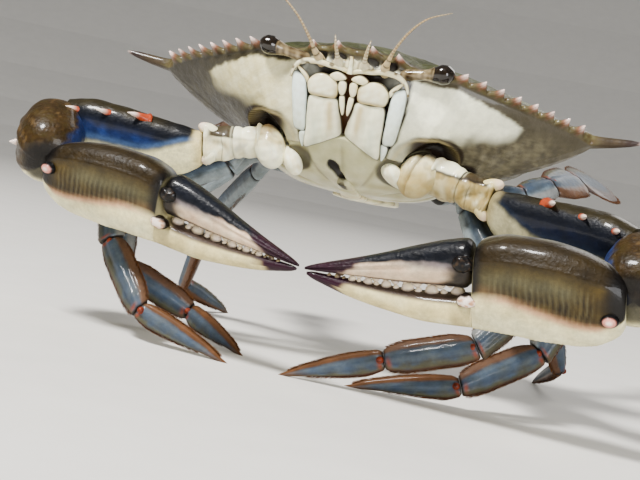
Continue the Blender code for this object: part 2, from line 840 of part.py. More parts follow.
def build_cheliped(side, joints, girth, parent):
    """One claw arm: base, arm, wrist, palm with its fixed finger, and moving finger."""
    name = "left" if side > 0 else "right"
    hip = CLAW_HIP if side > 0 else mirror(CLAW_HIP)
    elbow, knee, wrist, tips = joints
    forward = Vector((0.0, -1.0, -0.25))
    base = Limb(hip, elbow, forward, side)
    arm = Limb(elbow, knee, forward, side)
    claw = Claw(wrist, tips, girth, side)
    outward = Vector((side * WRIST_OUT, 0.0, WRIST_UP))
    block = Limb(
        knee.lerp(wrist, 0.5) + outward, wrist + outward, Vector((side * 1.0, 0.0, 0.3)), side
    )

    plane = joint_plane(base.along, arm.along, elbow, -GAP / 2)
    build_hip(f"claw_base_{name}", base, CLAW_BASE_STATIONS, "belly", parent, plane)

    plane = joint_plane(base.along, arm.along, elbow, GAP / 2)
    section = three_sided(12, 0.1, 55)
    upper = loft(f"claw_arm_{name}", arm, ARM_STATIONS, section, "arm", parent, plane, None)
    spines = []
    for share in ARM_SPINES:
        foot = arm.point(share, 4.4, 5.0)
        tip = foot + arm.face * 4.6 + arm.up * 1.6 + arm.along * 1.6
        spines.append(mesh_object("spine", cone(foot, tip, 1.3, 6, 2.2), None, parent))
    boolean(upper, spines, "UNION")
    boolean(upper, [mesh_object("cutter", wrist_rings(block, GAP), None, parent)], "DIFFERENCE")

    carpus = mesh_object(f"claw_wrist_{name}", wrist_rings(block, 0.0), "claw", parent)
    spike = block.point(0.0, 2.0, WRIST_HALVES[2] * 0.86)
    spike_tip = spike + block.face * 3.2 + block.along * 1.2
    boolean(carpus, [mesh_object("spine", cone(spike, spike_tip, 1.4, 6, 2.2), None, parent)], "UNION")

    palm = mesh_object(
        f"claw_palm_{name}", claw_rings(claw, palm_rows(), oval(14, 0.8)), "claw", parent
    )
    additions = finger_teeth(claw, FIXED_FINGER, 1, 39.0, 72.0, 1.5, parent)
    additions.append(mesh_object("finger", claw_rings(claw, FIXED_FINGER, oval(10)), None, parent))
    additions.append(knob(claw, PALM_KNOB, parent))
    boolean(palm, additions, "UNION")
    cutters = [
        mesh_object("cutter", claw_rings(claw, MOVING_FINGER, oval(10), GAP), None, parent),
        mesh_object("cutter", wrist_rings(block, GAP), None, parent),
    ]
    boolean(palm, cutters, "DIFFERENCE")

    dactyl = mesh_object(
        f"claw_finger_{name}", claw_rings(claw, MOVING_FINGER, oval(10)), "finger", parent
    )
    additions = finger_teeth(claw, MOVING_FINGER, -1, 41.0, 72.0, 1.1, parent)
    additions.append(knob(claw, FINGER_KNOB, parent))
    boolean(dactyl, additions, "UNION")
    return build_hip("cutter", base, CLAW_BASE_STATIONS, None, parent, plane, SOCKET_GROW)


# Walking and swimming legs.


def direction(side, heading_deg, elevation_deg):
    """Unit vector in the body frame for a heading and elevation of the standing frame."""
    heading, elevation = math.radians(heading_deg), math.radians(elevation_deg)
    level = math.cos(elevation)
    standing = Vector(
        (side * math.cos(heading) * level, math.sin(heading) * level, math.sin(elevation))
    )
    return (TO_BODY.to_3x3() @ standing).normalized()


def leg_joints(side, hip, lengths, pose):
    """Joint points of a walking leg. The dactyl's slope brings its tip to the floor."""
    points = [hip]
    for length, (heading, elevation) in zip(lengths, pose[:-1]):
        points.append(points[-1] + direction(side, heading, elevation) * length)
    ankle_height = (STANCE @ points[-1]).z
    slope = -math.degrees(math.asin(ankle_height / lengths[-1]))
    points.append(points[-1] + direction(side, pose[-1], slope) * lengths[-1])
    return points


LEG_PARTS = (
    ("merus", ((0.0, 3.4, 2.2, 0.0), (0.3, 4.2, 2.5, 0.0), (0.75, 4.2, 2.4, 0.0), (1.0, 3.5, 2.2, 0.0))),
    ("carpus", ((0.0, 3.5, 2.2, 0.0), (0.5, 3.9, 2.4, 0.0), (1.0, 3.6, 2.1, 0.0))),
    ("propodus", ((0.0, 3.2, 2.1, 0.0), (0.25, 3.9, 2.2, 0.0), (0.7, 3.9, 2.0, 0.0), (1.0, 2.8, 1.7, 0.0))),
    (
        "dactyl",
        (
            (0.0, 2.7, 1.7, 0.0),
            (0.25, 3.1, 1.6, 0.1),
            (0.6, 2.3, 1.2, 0.2),
            (0.88, 1.0, 0.8, 0.1),
            (1.0, 0.5, 0.45, 0.0),
        ),
    ),
)


def build_leg(side, number, hip, radius, lengths, pose, parent):
    """One walking leg: base, merus, carpus, propodus and dactyl, standing on a small flat."""
    name = f"leg{number}_{'left' if side > 0 else 'right'}"
    hip = hip if side > 0 else mirror(hip)
    points = leg_joints(side, hip, lengths, pose)
    facing = direction(side, -90 + (0, 10, 55)[number - 2], 8)
    limbs = [Limb(a, b, facing, side) for a, b in zip(points, points[1:])]
    floor_point = TO_BODY @ Vector((0.0, 0.0, 0.0))
    floor_normal = TO_BODY.to_3x3() @ Vector((0.0, 0.0, -1.0))
    plane = joint_plane(limbs[0].along, limbs[1].along, points[1], -GAP / 2)
    stations = hip_stations(lengths[0], radius, 3.3, 2.2)
    build_hip(f"{name}_base", limbs[0], stations, "leg", parent, plane)
    for i, (part, stations) in enumerate(LEG_PARTS):
        limb = limbs[i + 1]
        before = joint_plane(limbs[i].along, limb.along, limb.start, GAP / 2)
        if part == "dactyl":
            after = (floor_point, floor_normal)
        else:
            after = joint_plane(limb.along, limbs[i + 2].along, limb.end, -GAP / 2)
        loft(f"{name}_{part}", limb, stations, oval(8), "leg", parent, before, after)
    plane = joint_plane(limbs[0].along, limbs[1].along, points[1], GAP)
    stations = hip_stations(lengths[0], radius, 3.4, 2.6)
    return build_hip("cutter", limbs[0], stations, None, parent, plane, SOCKET_GROW)


SWIM_PARTS = (
    ("merus", ((0.0, 4.0, 2.6, 0.0), (0.3, 5.0, 3.0, 0.0), (0.75, 5.0, 2.9, 0.0), (1.0, 4.2, 2.6, 0.0))),
    ("carpus", ((0.0, 4.2, 2.6, 0.0), (0.5, 5.0, 2.7, 0.0), (1.0, 4.4, 2.2, 0.0))),
    ("propodus", ((0.0, 4.4, 2.2, 0.0), (0.4, 6.6, 1.8, 0.0), (0.8, 7.0, 1.5, 0.0), (1.0, 5.0, 1.2, 0.0))),
    (
        "paddle",
        (
            (0.0, 4.8, 1.2, 0.0),
            (0.18, 7.2, 1.1, 0.0),
            (0.45, 8.6, 0.9, 0.0),
            (0.72, 7.6, 0.8, 0.0),
            (0.9, 4.8, 0.6, 0.0),
            (1.0, 1.6, 0.4, 0.0),
        ),
    ),
)


def build_swimming_leg(side, parent):
    """Fifth leg, held up behind the shell and ending in an oval paddle."""
    name = f"swimmer_{'left' if side > 0 else 'right'}"
    hip, radius = SWIM_HIP
    hip = hip if side > 0 else mirror(hip)
    points = [hip]
    for length, (heading, elevation) in zip(SWIM_LENGTHS, SWIM_POSE):
        points.append(points[-1] + direction(side, heading, elevation) * length)
    facing = direction(side, -30, 62)
    limbs = [Limb(a, b, facing, side) for a, b in zip(points, points[1:])]
    plane = joint_plane(limbs[0].along, limbs[1].along, points[1], -GAP / 2)
    stations = hip_stations(SWIM_LENGTHS[0], radius, 3.9, 2.7)
    build_hip(f"{name}_base", limbs[0], stations, "leg", parent, plane)
    for i, (part, stations) in enumerate(SWIM_PARTS):
        limb = limbs[i + 1]
        before = joint_plane(limbs[i].along, limb.along, limb.start, GAP / 2)
        after = None
        if part != "paddle":
            after = joint_plane(limb.along, limbs[i + 2].along, limb.end, -GAP / 2)
        loft(f"{name}_{part}", limb, stations, oval(10), "leg", parent, before, after)
    plane = joint_plane(limbs[0].along, limbs[1].along, points[1], GAP)
    stations = hip_stations(SWIM_LENGTHS[0], radius, 4.1, 3.1)
    return build_hip("cutter", limbs[0], stations, None, parent, plane, SOCKET_GROW)


def copy_of(obj):
    twin = obj.copy()
    twin.data = obj.data.copy()
    bpy.context.scene.collection.objects.link(twin)
    return twin


def build_crab():
    for obj in list(bpy.data.objects):
        bpy.data.objects.remove(obj)
    stance = make_stance_empty()
    bpy.context.view_layer.update()
    sockets = []
    halves = (
        (1, LEFT_CLAW, LEFT_GIRTH, LEFT_LEGS),
        (-1, RIGHT_CLAW, RIGHT_GIRTH, RIGHT_LEGS),
    )
    for side, claw, girth, legs in halves:
        sockets.append(build_cheliped(side, claw, girth, stance))
        for i, (hip, radius) in enumerate(LEG_HIPS):
            sockets.append(
                build_leg(side, i + 2, hip, radius, LEG_LENGTHS[i], legs[i], stance)
            )
        sockets.append(build_swimming_leg(side, stance))

    shell = build_shell(stance)
    plate = build_plate(stance)
    face = []
    for side in (1, -1):
        name = "left" if side > 0 else "right"
        mesh_object(f"jaw_{name}", jaw_rings(side, 0.0), "belly", stance)
        mesh_object(f"eye_{name}", eye_rings(side, 0.0), "eye", stance)
        mesh_object(f"antenna_{name}", antenna_rings(side, 0.0), "belly", stance)
        for rings in (jaw_rings, eye_rings, antenna_rings):
            face.append(mesh_object("cutter", rings(side, GAP), None, stance))
    brow = mesh_object("brow", brow_rings(0.0), "belly", stance)
    feelers = [mesh_object("feeler", antennule_rings(side), None, stance) for side in (1, -1)]
    boolean(brow, feelers, "UNION")
    face.append(mesh_object("cutter", brow_rings(GAP), None, stance))
    mesh_object("abdomen", abdomen_rings(0.0), "belly", stance)
    flap = mesh_object("cutter", abdomen_rings(GAP), None, stance)
    plate_tools = [copy_of(piece) for piece in sockets] + [copy_of(flap)]
    plate_tools += [copy_of(piece) for piece in face if piece.name.startswith("cutter")]
    boolean(plate, plate_tools, "DIFFERENCE")
    boolean(shell, sockets + face + [flap], "DIFFERENCE")


build_crab()
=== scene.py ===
# %% [markdown]
# Blue crab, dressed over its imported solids
#
# The solids already stand in their pose. This script gives every plate of the crab its finished
# surface: shell, breast plate, mouth, eyes, claws, walking legs and swimming legs, each a numpy
# grid worked out from the same named sizes as the solid that it replaces. The crab's own frame
# has +X to its left, -Y to its front and +Z up through the shell, in millimetres, and one matrix
# stands it on the floor in metres.

# %% Load the frame
import math

import bpy
import numpy as np
from mathutils import Matrix


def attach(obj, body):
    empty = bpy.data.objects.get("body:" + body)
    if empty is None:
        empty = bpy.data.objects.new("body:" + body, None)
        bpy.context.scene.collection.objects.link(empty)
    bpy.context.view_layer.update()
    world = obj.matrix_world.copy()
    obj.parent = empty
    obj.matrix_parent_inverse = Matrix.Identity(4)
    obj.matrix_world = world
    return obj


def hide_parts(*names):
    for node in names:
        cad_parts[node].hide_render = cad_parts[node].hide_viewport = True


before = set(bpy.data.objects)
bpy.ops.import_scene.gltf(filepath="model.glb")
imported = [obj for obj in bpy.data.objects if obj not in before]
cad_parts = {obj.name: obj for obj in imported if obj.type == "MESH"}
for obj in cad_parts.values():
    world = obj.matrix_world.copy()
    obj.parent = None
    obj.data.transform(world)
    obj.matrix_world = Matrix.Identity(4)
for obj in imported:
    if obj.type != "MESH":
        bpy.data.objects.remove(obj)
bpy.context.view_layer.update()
print("solids loaded:", len(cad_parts))

# %% [markdown]
# The stance
#
# The crab stands nose-up on its legs. Working in the crab's own frame keeps left and right as
# plain mirror images, so each shape is made there and carried to the floor at the very end by
# one turn about X and one shift. Typing world positions by hand would hide that symmetry.

# %% Stance and camera frame
MM = 0.001
NOSE_UP = math.radians(-15.0)
PLACE = np.array([-2.3, -9.0, 74.0])
TURN = np.array([
    [1.0, 0.0, 0.0],
    [0.0, math.cos(NOSE_UP), -math.sin(NOSE_UP)],
    [0.0, math.sin(NOSE_UP), math.cos(NOSE_UP)],
])


def stand(points):
    """Body frame in millimetres to the floor in metres: turn about X, then shift."""
    return (np.asarray(points, float) @ TURN.T + PLACE) * MM


def unit(vector):
    """The vector divided by its own length."""
    vector = np.asarray(vector, float)
    return vector / np.linalg.norm(vector, axis=-1, keepdims=True)


def lerp(a, b, share):
    """Straight mix of a and b."""
    return a + (b - a) * share


def ease(low, high, value):
    """Smooth step: 0 below low, 1 above high, 3s squared minus 2s cubed between."""
    share = np.clip((value - low) / (high - low), 0.0, 1.0)
    return share * share * (3.0 - 2.0 * share)


def hump(value, centre, width):
    """Bell curve of height 1: e to the minus square of the distance over the width."""
    return np.exp(-(((value - centre) / width) ** 2))


def table_at(table, at):
    """Reads a table of stations smoothly and without overshoot.

    Between two rows each column is a cubic. Its slope at a row is the harmonic mean of the slopes
    of the chords on both sides, or nothing where those turn.
    """
    table = np.asarray(table, float)
    x, y = table[:, 0], table[:, 1:]
    chord = np.diff(y, axis=0) / np.diff(x)[:, None]
    both = chord[:-1] * chord[1:]
    inner = np.where(both > 0, 2 * both / np.where(both > 0, chord[:-1] + chord[1:], 1.0), 0.0)
    slope = np.concatenate([chord[:1], inner, chord[-1:]])
    at = np.atleast_1d(at)
    row = np.clip(np.searchsorted(x, at, side="right") - 1, 0, len(x) - 2)
    step = (x[row + 1] - x[row])[:, None]
    s = np.clip((at - x[row])[:, None] / step, 0.0, 1.0)
    h00, h10 = 2 * s**3 - 3 * s**2 + 1, s**3 - 2 * s**2 + s
    h01, h11 = -2 * s**3 + 3 * s**2, s**3 - s**2
    mixed = h00 * y[row] + h10 * step * slope[row] + h01 * y[row + 1] + h11 * step * slope[row + 1]
    return mixed.T


print("nose up", -math.degrees(NOSE_UP), "degrees, standing", PLACE[2], "mm high")

# %% [markdown]
# From a grid of points to a closed skin
#
# Every plate of a crab is a closed shell without seams. A grid whose columns run round the plate
# and whose rows run along it covers such a shell, and one point at each end closes it. The paint
# travels with the points as an attribute, so that colours stay where they belong on the animal
# from every side. Sculpting by hand would look the same once, but could not be changed by a size.

# %% Grid to mesh
def round_turns(count):
    """Turns round a profile as a row."""
    return (np.arange(count) / count * math.tau)[None, :]


def noise3(points, size, seed):
    """Soft random relief in -1 to 1: a sum of five crossed sine waves in seeded directions."""
    rng = np.random.default_rng(seed)
    total = np.zeros(points.shape[:-1])
    for _ in range(5):
        way = unit(rng.normal(size=3)) * math.tau / size * rng.uniform(0.6, 1.6)
        other = unit(rng.normal(size=3)) * math.tau / size * rng.uniform(0.6, 1.6)
        total += np.sin(points @ way + rng.uniform(0, 9)) * np.sin(points @ other + rng.uniform(0, 9))
    return total / 2.5


def closed_grid(points):
    """Faces of a grid closed round its columns, with a fan to one added point at each end."""
    rows, cols = points.shape[:2]
    index = np.arange(rows * cols).reshape(rows, cols)
    after = np.roll(index, -1, axis=1)
    quads = np.stack([index[:-1], after[:-1], after[1:], index[1:]], -1).reshape(-1, 4)
    first, last = rows * cols, rows * cols + 1
    start = np.stack([np.full(cols, first), after[0], index[0]], -1)
    end = np.stack([np.full(cols, last), index[-1], after[-1]], -1)
    flat = np.concatenate([points.reshape(-1, 3), points[0].mean(0)[None], points[-1].mean(0)[None]])
    return flat, quads, np.concatenate([start, end])


def shell(points, paint, wet=0.0):
    """One closed shell as (points, quads, triangles, paint), turned so that its faces look out."""
    flat, quads, tris = closed_grid(points)
    colour = np.empty(points.shape[:2] + (4,))
    colour[..., :3] = paint
    colour[..., 3] = wet
    colour = colour.reshape(-1, 4)
    cols = points.shape[1]
    colour = np.concatenate([colour, colour[:cols].mean(0)[None], colour[-cols:].mean(0)[None]])
    corners = np.concatenate([quads[:, [0, 1, 2]], quads[:, [0, 2, 3]], tris])
    if np.linalg.det(flat[corners] - flat.mean(0)).sum() < 0:
        quads, tris = quads[:, ::-1], tris[:, ::-1]
    return flat, quads, tris, colour


pieces = {}


def make_piece(name, shells, finish, nodes, bake=None):
    """Joins shells into one object, in place of the named solids."""
    offset = np.cumsum([0] + [len(s[0]) for s in shells])
    flat = np.concatenate([s[0] for s in shells])
    quads = np.concatenate([s[1] + o for s, o in zip(shells, offset)])
    tris = np.concatenate([s[2] + o for s, o in zip(shells, offset)])
    paint = np.concatenate([s[3] for s in shells])
    mesh = bpy.data.meshes.new(name)
    mesh.vertices.add(len(flat))
    mesh.vertices.foreach_set("co", stand(flat).astype(np.float32).ravel())
    loops = np.concatenate([quads.ravel(), tris.ravel()]).astype(np.int32)
    sizes = np.concatenate([np.full(len(quads), 4), np.full(len(tris), 3)]).astype(np.int32)
    mesh.loops.add(len(loops))
    mesh.loops.foreach_set("vertex_index", loops)
    mesh.polygons.add(len(sizes))
    mesh.polygons.foreach_set("loop_start", np.concatenate([[0], np.cumsum(sizes)[:-1]]).astype(np.int32))
    mesh.polygons.foreach_set("loop_total", sizes)
    mesh.update(calc_edges=True)
    mesh.attributes.new("tint", "FLOAT_COLOR", "POINT").data.foreach_set(
        "color", paint.astype(np.float32).ravel()
    )
    if bake is not None:
        layer = mesh.uv_layers.new(name="OFBake")
        layer.data.foreach_set("uv", bake[loops].astype(np.float32).ravel())
    mesh.shade_smooth()
    mesh.materials.append(finish)
    piece = bpy.data.objects.new(name, mesh)
    bpy.context.scene.collection.objects.link(piece)
    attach(piece, "root")
    if nodes:
        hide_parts(*nodes)
    pieces[name] = len(quads) * 2 + len(tris)


def dress(solid, shells, finish):
    """Makes the piece that takes the place of one solid and bears its name."""
    make_piece(f"{solid}_skin", shells, finish, [solid])


print("grid tools ready")

# %% [markdown]
# The finish of a living shell
#
# A crab's shell is hard, mottled and wet. The large colour patches are painted on the points of
# each plate by formula. The finish adds what is too fine for that: mottling in millimetres, a
# grain of tiny beads in relief, and a clear wet coat over a duller base, which gives the sharp
# window highlights. The paint's fourth channel says how beady a place is, so that smooth
# undersides and granular backs share one way of making the material.

# %% Finishes
def node(tree, kind, **settings):
    """Adds a shader node and sets its named inputs and properties."""
    made = tree.nodes.new(kind)
    for key, value in settings.items():
        if key in made.inputs:
            made.inputs[key].default_value = value
        else:
            setattr(made, key, value)
    return made


def multiply_add(tree, first, second, third):
    """First times second plus third, each a number or another node's output."""
    made = node(tree, "ShaderNodeMath", operation="MULTIPLY_ADD")
    for socket, value in zip(made.inputs, (first, second, third)):
        if isinstance(value, float):
            socket.default_value = value
        else:
            tree.links.new(value, socket)
    return made.outputs[0]


def ranged(tree, source, low, high, to_low, to_high):
    """The source's values carried from one range to another."""
    ends = {"From Min": low, "From Max": high, "To Min": to_low, "To Max": to_high}
    made = node(tree, "ShaderNodeMapRange", **ends)
    tree.links.new(source, made.inputs["Value"])
    return made.outputs[0]


# Water in the grain of a shell deepens its darker colours, as this power of the tint does.
WET_DEEPENING = 1.35
COAT_ROUGHNESS, GLINT, GLOW_DEPTH = 0.09, 0.12, 0.003


def shell_finish(name, rough, coat, mottle, mottle_size, bead_size, relief, glow=0.0):
    """Wet shell: painted tint, two sizes of mottling, beads in relief and a clear coat.

    Sizes are in metres. Mottle is the share by which the tint lightens and darkens.
    """
    made = bpy.data.materials.new(name)
    made.use_nodes = True
    tree = made.node_tree
    join = tree.links.new
    surface = tree.nodes["Principled BSDF"]
    wet = {"Coat Weight": coat, "Coat Roughness": COAT_ROUGHNESS, "Specular IOR Level": GLINT,
           "Subsurface Weight": glow, "Subsurface Scale": GLOW_DEPTH}
    for socket, value in wet.items():
        surface.inputs[socket].default_value = value
    place = node(tree, "ShaderNodeTexCoord").outputs["Object"]
    tint = node(tree, "ShaderNodeAttribute", attribute_name="tint")
    cloud = node(tree, "ShaderNodeTexNoise", Scale=1.0 / mottle_size, Detail=5.0, Roughness=0.6)
    speck = node(tree, "ShaderNodeTexNoise", Scale=4.5 / mottle_size, Detail=3.0, Roughness=0.7)
    bead = node(tree, "ShaderNodeTexVoronoi", Scale=1.0 / bead_size, Randomness=0.9)
    for texture in (cloud, speck, bead):
        join(place, texture.inputs["Vector"])
    beady, fine = tint.outputs["Alpha"], speck.outputs["Fac"]
    both = multiply_add(tree, fine, 0.5, cloud.outputs["Fac"])
    level = ranged(tree, both, 0.5, 1.0, -mottle, mottle)
    shift = multiply_add(tree, level, multiply_add(tree, beady, 0.75, 0.25), 1.0)
    mixed = node(tree, "ShaderNodeVectorMath", operation="SCALE")
    join(tint.outputs["Color"], mixed.inputs[0])
    join(shift, mixed.inputs["Scale"])
    wet_look = node(tree, "ShaderNodeGamma", Gamma=WET_DEEPENING)
    join(mixed.outputs[0], wet_look.inputs["Color"])
    join(wet_look.outputs["Color"], surface.inputs["Base Color"])
    join(ranged(tree, fine, 0.3, 0.7, rough - 0.08, rough + 0.14), surface.inputs["Roughness"])
    height = multiply_add(tree, bead.outputs["Distance"], beady, fine)
    bump = node(tree, "ShaderNodeBump", Strength=0.5, Distance=relief, invert=True)
    join(height, bump.inputs["Height"])
    join(bump.outputs["Normal"], surface.inputs["Normal"])
    return made


BACK_FINISH = shell_finish("olive_back_shell", 0.44, 0.25, 0.40, 0.006, 0.0011, 0.0004)
BELLY_FINISH = shell_finish("cream_belly_shell", 0.38, 0.30, 0.30, 0.007, 0.0012, 0.00012, 0.05)
CLAW_FINISH = shell_finish("claw_shell", 0.42, 0.18, 0.60, 0.005, 0.0010, 0.00030)
ARM_FINISH = shell_finish("blue_arm_shell", 0.36, 0.22, 0.60, 0.004, 0.0010, 0.00028)
LEG_FINISH = shell_finish("blue_grey_leg_shell", 0.48, 0.15, 0.55, 0.004, 0.0009, 0.00022)
HAIR_FINISH = shell_finish("brown_hair", 0.55, 0.05, 0.60, 0.002, 0.0010, 0.00002)
EYE_FINISH = shell_finish("dark_cornea", 0.14, 0.80, 0.20, 0.002, 0.0003, 0.00002)
print("finishes made:", len(bpy.data.materials))

# %% [markdown]
# The back, its teeth and the flanks
#
# The shell of a blue crab is a flat lens nearly twice as wide as it is long. Its front edge has
# eight teeth on each side and a long spine, and its underside runs in to the legs. A lens could
# be a squashed ball, but the teeth must be part of the edge, so the grid follows the real margin:
# rings shrink from that margin to the middle of the back, and from it down to the breast plate.

# %% Margin of the shell
FRONT_Y, REAR_Y, REAR_HALF = -30.0, 31.0, 23.0
MARGIN_START, MARGIN_END = np.array([27.5, -26.0]), np.array([61.0, -1.6])
MARGIN_BOW, SIDE_TEETH, TOOTH_LENGTH, TOOTH_LIFT = 1.6, 8, 3.9, 1.3
SPINE_TIP, SPINE_BACK = np.array([75.0, -2.0]), np.array([59.5, 3.4])
EDGE_HALF, SPINE_HALF, DOME_HEIGHT = 0.9, 1.7, 13.5


def margin_half():
    """Left half of the margin: rows of base x, base y, edge x, edge y and lift of the edge."""
    flat = [(0.0, -29.6), (2.6, -30.4), (5.0, -30.6, 4.6, -33.4), (7.4, -30.0), (9.6, -29.8),
            (11.4, -29.4, 11.6, -32.2), (14.5, -27.2), (19.0, -25.4), (23.5, -25.4)]
    run = MARGIN_END - MARGIN_START
    bow = unit(np.array([-run[1], run[0]])) * -MARGIN_BOW
    for i in range(2 * SIDE_TEETH):
        share = 0.5 * i / SIDE_TEETH
        base = MARGIN_START + run * share + bow * 4 * share * (1 - share)
        tip = base + np.array([0.62, -0.78]) * TOOTH_LENGTH
        flat.append((*base, *tip) if i % 2 == 0 else tuple(base))
    flat += [tuple(MARGIN_END), (61.4, 0.8, *SPINE_TIP), tuple(SPINE_BACK)]
    for share in (0.2, 0.4, 0.6, 0.8, 1.0):
        corner = lerp(SPINE_BACK, np.array([REAR_HALF, REAR_Y - 1.5]), share)
        flat.append(tuple(corner - np.array([0.5, 0.86]) * 1.8 * math.sin(math.pi * share)))
    for share in (0.35, 0.7, 1.0):
        rear = lerp(np.array([REAR_HALF - 1.5, REAR_Y]), np.array([0.0, REAR_Y + 0.8]), share)
        flat.append(tuple(rear))
    return np.array([(*p, *p, 0.0) if len(p) == 2 else (*p, 1.0) for p in flat])


def margin_points(spacing):
    """Whole margin, evenly sampled: base, offset of the edge from it, and how much it is a tooth.

    Bases are smoothed round the ring, and a tooth's offset grows as its share to the power 1.35,
    which hollows its sides and keeps its tip sharp.
    """
    half = margin_half()
    other = half[-2:0:-1] * np.array([-1.0, 1.0, -1.0, 1.0, 1.0])
    ring = np.concatenate([half, other])
    after = np.roll(ring, -1, axis=0)
    length = np.linalg.norm(after[:, 2:4] - ring[:, 2:4], axis=1)
    counts = np.maximum(3, np.ceil(length / spacing)).astype(int)
    row = np.repeat(np.arange(len(ring)), counts)
    share = np.concatenate([np.arange(c) / c for c in counts])[:, None]
    base = lerp(ring[row, :2], after[row, :2], share)
    low, high = ring[row], after[row]
    rising, falling = high[:, 4:] > low[:, 4:], high[:, 4:] < low[:, 4:]
    grown = np.where(rising, share, np.where(falling, 1 - share, 0.0)) ** 1.35
    offset = np.where(rising, high[:, 2:4] - high[:, :2], low[:, 2:4] - low[:, :2]) * grown
    for _ in range(3):
        base = 0.5 * base + 0.25 * (np.roll(base, 1, axis=0) + np.roll(base, -1, axis=0))
    return base, offset, grown[:, 0]


base, offset, tooth = margin_points(0.62)
print("margin samples:", len(base))

# %% Heights of the back and the flanks
PLATE_HALF_X, PLATE_HALF_Y, PLATE_CENTRE_Y, PLATE_ROOF_Z, PLATE_KEEL_Z = 28.0, 21.0, 2.0, -12.5, -25.5
FLANK_FALL, FLANK_TURN_Y, FLANK_TURN = 0.43, -2.0, 12.0
CLAW_HIP = np.array([22.0, -13.5, -19.5])
LEG_HIPS = np.array([[30.0, -5.0, -18.5], [31.0, 3.6, -18.0], [28.5, 11.8, -17.0]])
LEG_HIP_RADII = (3.7, 3.7, 3.5)
SWIM_HIP, SWIM_HIP_RADIUS = np.array([21.5, 19.5, -15.0]), 4.2
# Lobes of the back: height, middle and half width across it, middle and half length along it.
BACK_LOBES = ((0.9, 9.0, 8.0, -13.0, 8.0), (0.8, 0.0, 6.0, 12.0, 8.0), (0.9, 30.0, 14.0, 6.0, 9.0),
              (0.5, 30.0, 9.0, -13.0, 5.0), (0.35, 3.4, 2.2, 8.0, 2.4))


def rim_height(flat):
    """Height of the margin: higher in front and near the middle."""
    forward = np.maximum(0.0, flat[..., 1] / FRONT_Y)
    inward = 1.0 - np.minimum(1.0, abs(flat[..., 0]) / 60.0)
    return 1.2 + 2.6 * forward**2 * inward


def edge_half(flat):
    """Half thickness of the margin, thicker where the side spine springs."""
    return lerp(EDGE_HALF, SPINE_HALF, hump(abs(flat[..., 0]), 62.0, 5.0))


def regions(x, y):
    """Relief of the back: swollen lobes over stomach, heart and gills, with grooves between them."""
    side = abs(x)
    lobes = 0.0
    for height, across, half_width, along, half_length in BACK_LOBES:
        lobes = lobes + height * hump(side, across, half_width) * hump(y, along, half_length)
    neck = -2.0 + 0.020 * (side - 12.0) ** 2
    grooves = 0.75 * hump(y, neck, 1.7) * ease(48.0, 22.0, side) * ease(2.0, 8.0, side)
    grooves += 0.7 * hump(side, 11.0 - 0.10 * (y - 8.0), 1.6) * ease(-2.0, 3.0, y) * ease(24.0, 15.0, y)
    ridge = 0.55 * hump(y, -4.5 + 0.0016 * (side - 20.0) ** 2, 0.9)
    return lobes - grooves + ridge * ease(13.0, 20.0, side) * ease(62.0, 50.0, side)


def back_height(base, share):
    """Height of the back over base times share: a dome, 1 less share to the 2.2, to the 0.9."""
    rise = (1.0 - share**2.2) ** 0.9
    flank = 1.0 - 0.12 * np.minimum(1.0, abs(base[..., 0]) / 60.0)
    return lerp(rim_height(base), DOME_HEIGHT * flank, rise)


def plate_outline(flat, shrink=0.0):
    """Superellipse of the breast plate met by the line from its centre towards flat."""
    turn = np.arctan2(flat[..., 1] - PLATE_CENTRE_Y, flat[..., 0])
    a, b = PLATE_HALF_X - shrink, PLATE_HALF_Y - shrink
    reach = (abs(np.cos(turn) / a) ** 2.4 + abs(np.sin(turn) / b) ** 2.4) ** (-1 / 2.4)
    return np.stack([np.cos(turn) * reach, PLATE_CENTRE_Y + np.sin(turn) * reach], -1)


def plate_edge_z(flat):
    """Height where flank and breast plate meet, lowest in front."""
    along = (flat[..., 1] - PLATE_CENTRE_Y) / PLATE_HALF_Y
    return -17.5 - 2.0 * np.maximum(0.0, -along) + 3.0 * np.maximum(0.0, along)


def flank(base, share):
    """Underside between margin and breast plate.

    It runs straight in before the side spines. Behind them it falls steeply and then runs in.
    """
    edge = plate_outline(base)
    end_on = abs(np.sin(np.arctan2(base[..., 1], base[..., 0]))) ** 1.5
    fullness = 1.0 + np.where(base[..., 1] < 0, 0.9, 1.2) * end_on
    flat = lerp(base, edge, (share**fullness)[..., None])
    behind = np.clip((base[..., 1] - FLANK_TURN_Y) / FLANK_TURN, 0.0, 1.0)
    fall = share ** lerp(0.95, FLANK_FALL, behind)
    low = lerp(rim_height(base) - edge_half(base), plate_edge_z(edge), fall)
    return np.concatenate([flat, low[..., None]], -1)


def bowl(points, centre, outward, radius):
    """Sinks a socket: inside a cylinder about the limb's axis, points go back to the ball's far side."""
    q = points - centre
    out = q @ outward
    reach = radius**2 - (np.sum(q * q, -1) - out**2)
    deep = np.where(reach > 0, np.minimum(out, -np.sqrt(np.maximum(reach, 0.0)) * 0.9), out)
    return points + (deep - out)[..., None] * outward


def in_socket(points, centre, outward, radius):
    """Share to which points lie inside a socket's cylinder, on the side of the crab it opens to."""
    q = points - centre
    out = q @ outward
    reach = np.sqrt(np.maximum(np.sum(q * q, -1) - out**2, 0.0))
    return ease(radius + 1.9, radius + 1.1, reach) * ease(-16.0, -13.0, out)


def mirrored(point, side):
    """The point on the crab's left for side 1, or its mirror image for side -1."""
    return point * np.array([side, 1.0, 1.0])


print("highest point of the back:", round(float(back_height(np.array([1.0, 0.0]), 0.0)), 1), "mm")

# %% Mouth plane
MOUTH_TOP, MOUTH_FOOT = np.array([0.0, -30.6, -3.4]), np.array([0.0, -20.6, -19.2])
MOUTH_DOWN = unit(MOUTH_FOOT - MOUTH_TOP)
MOUTH_OUT = np.array([0.0, MOUTH_DOWN[2], -MOUTH_DOWN[1]])
MOUTH_HALF = ((-1.6, 15.4), (1.0, 15.9), (8.0, 15.6), (15.5, 14.0), (18.0, 12.4), (21.6, 11.4))


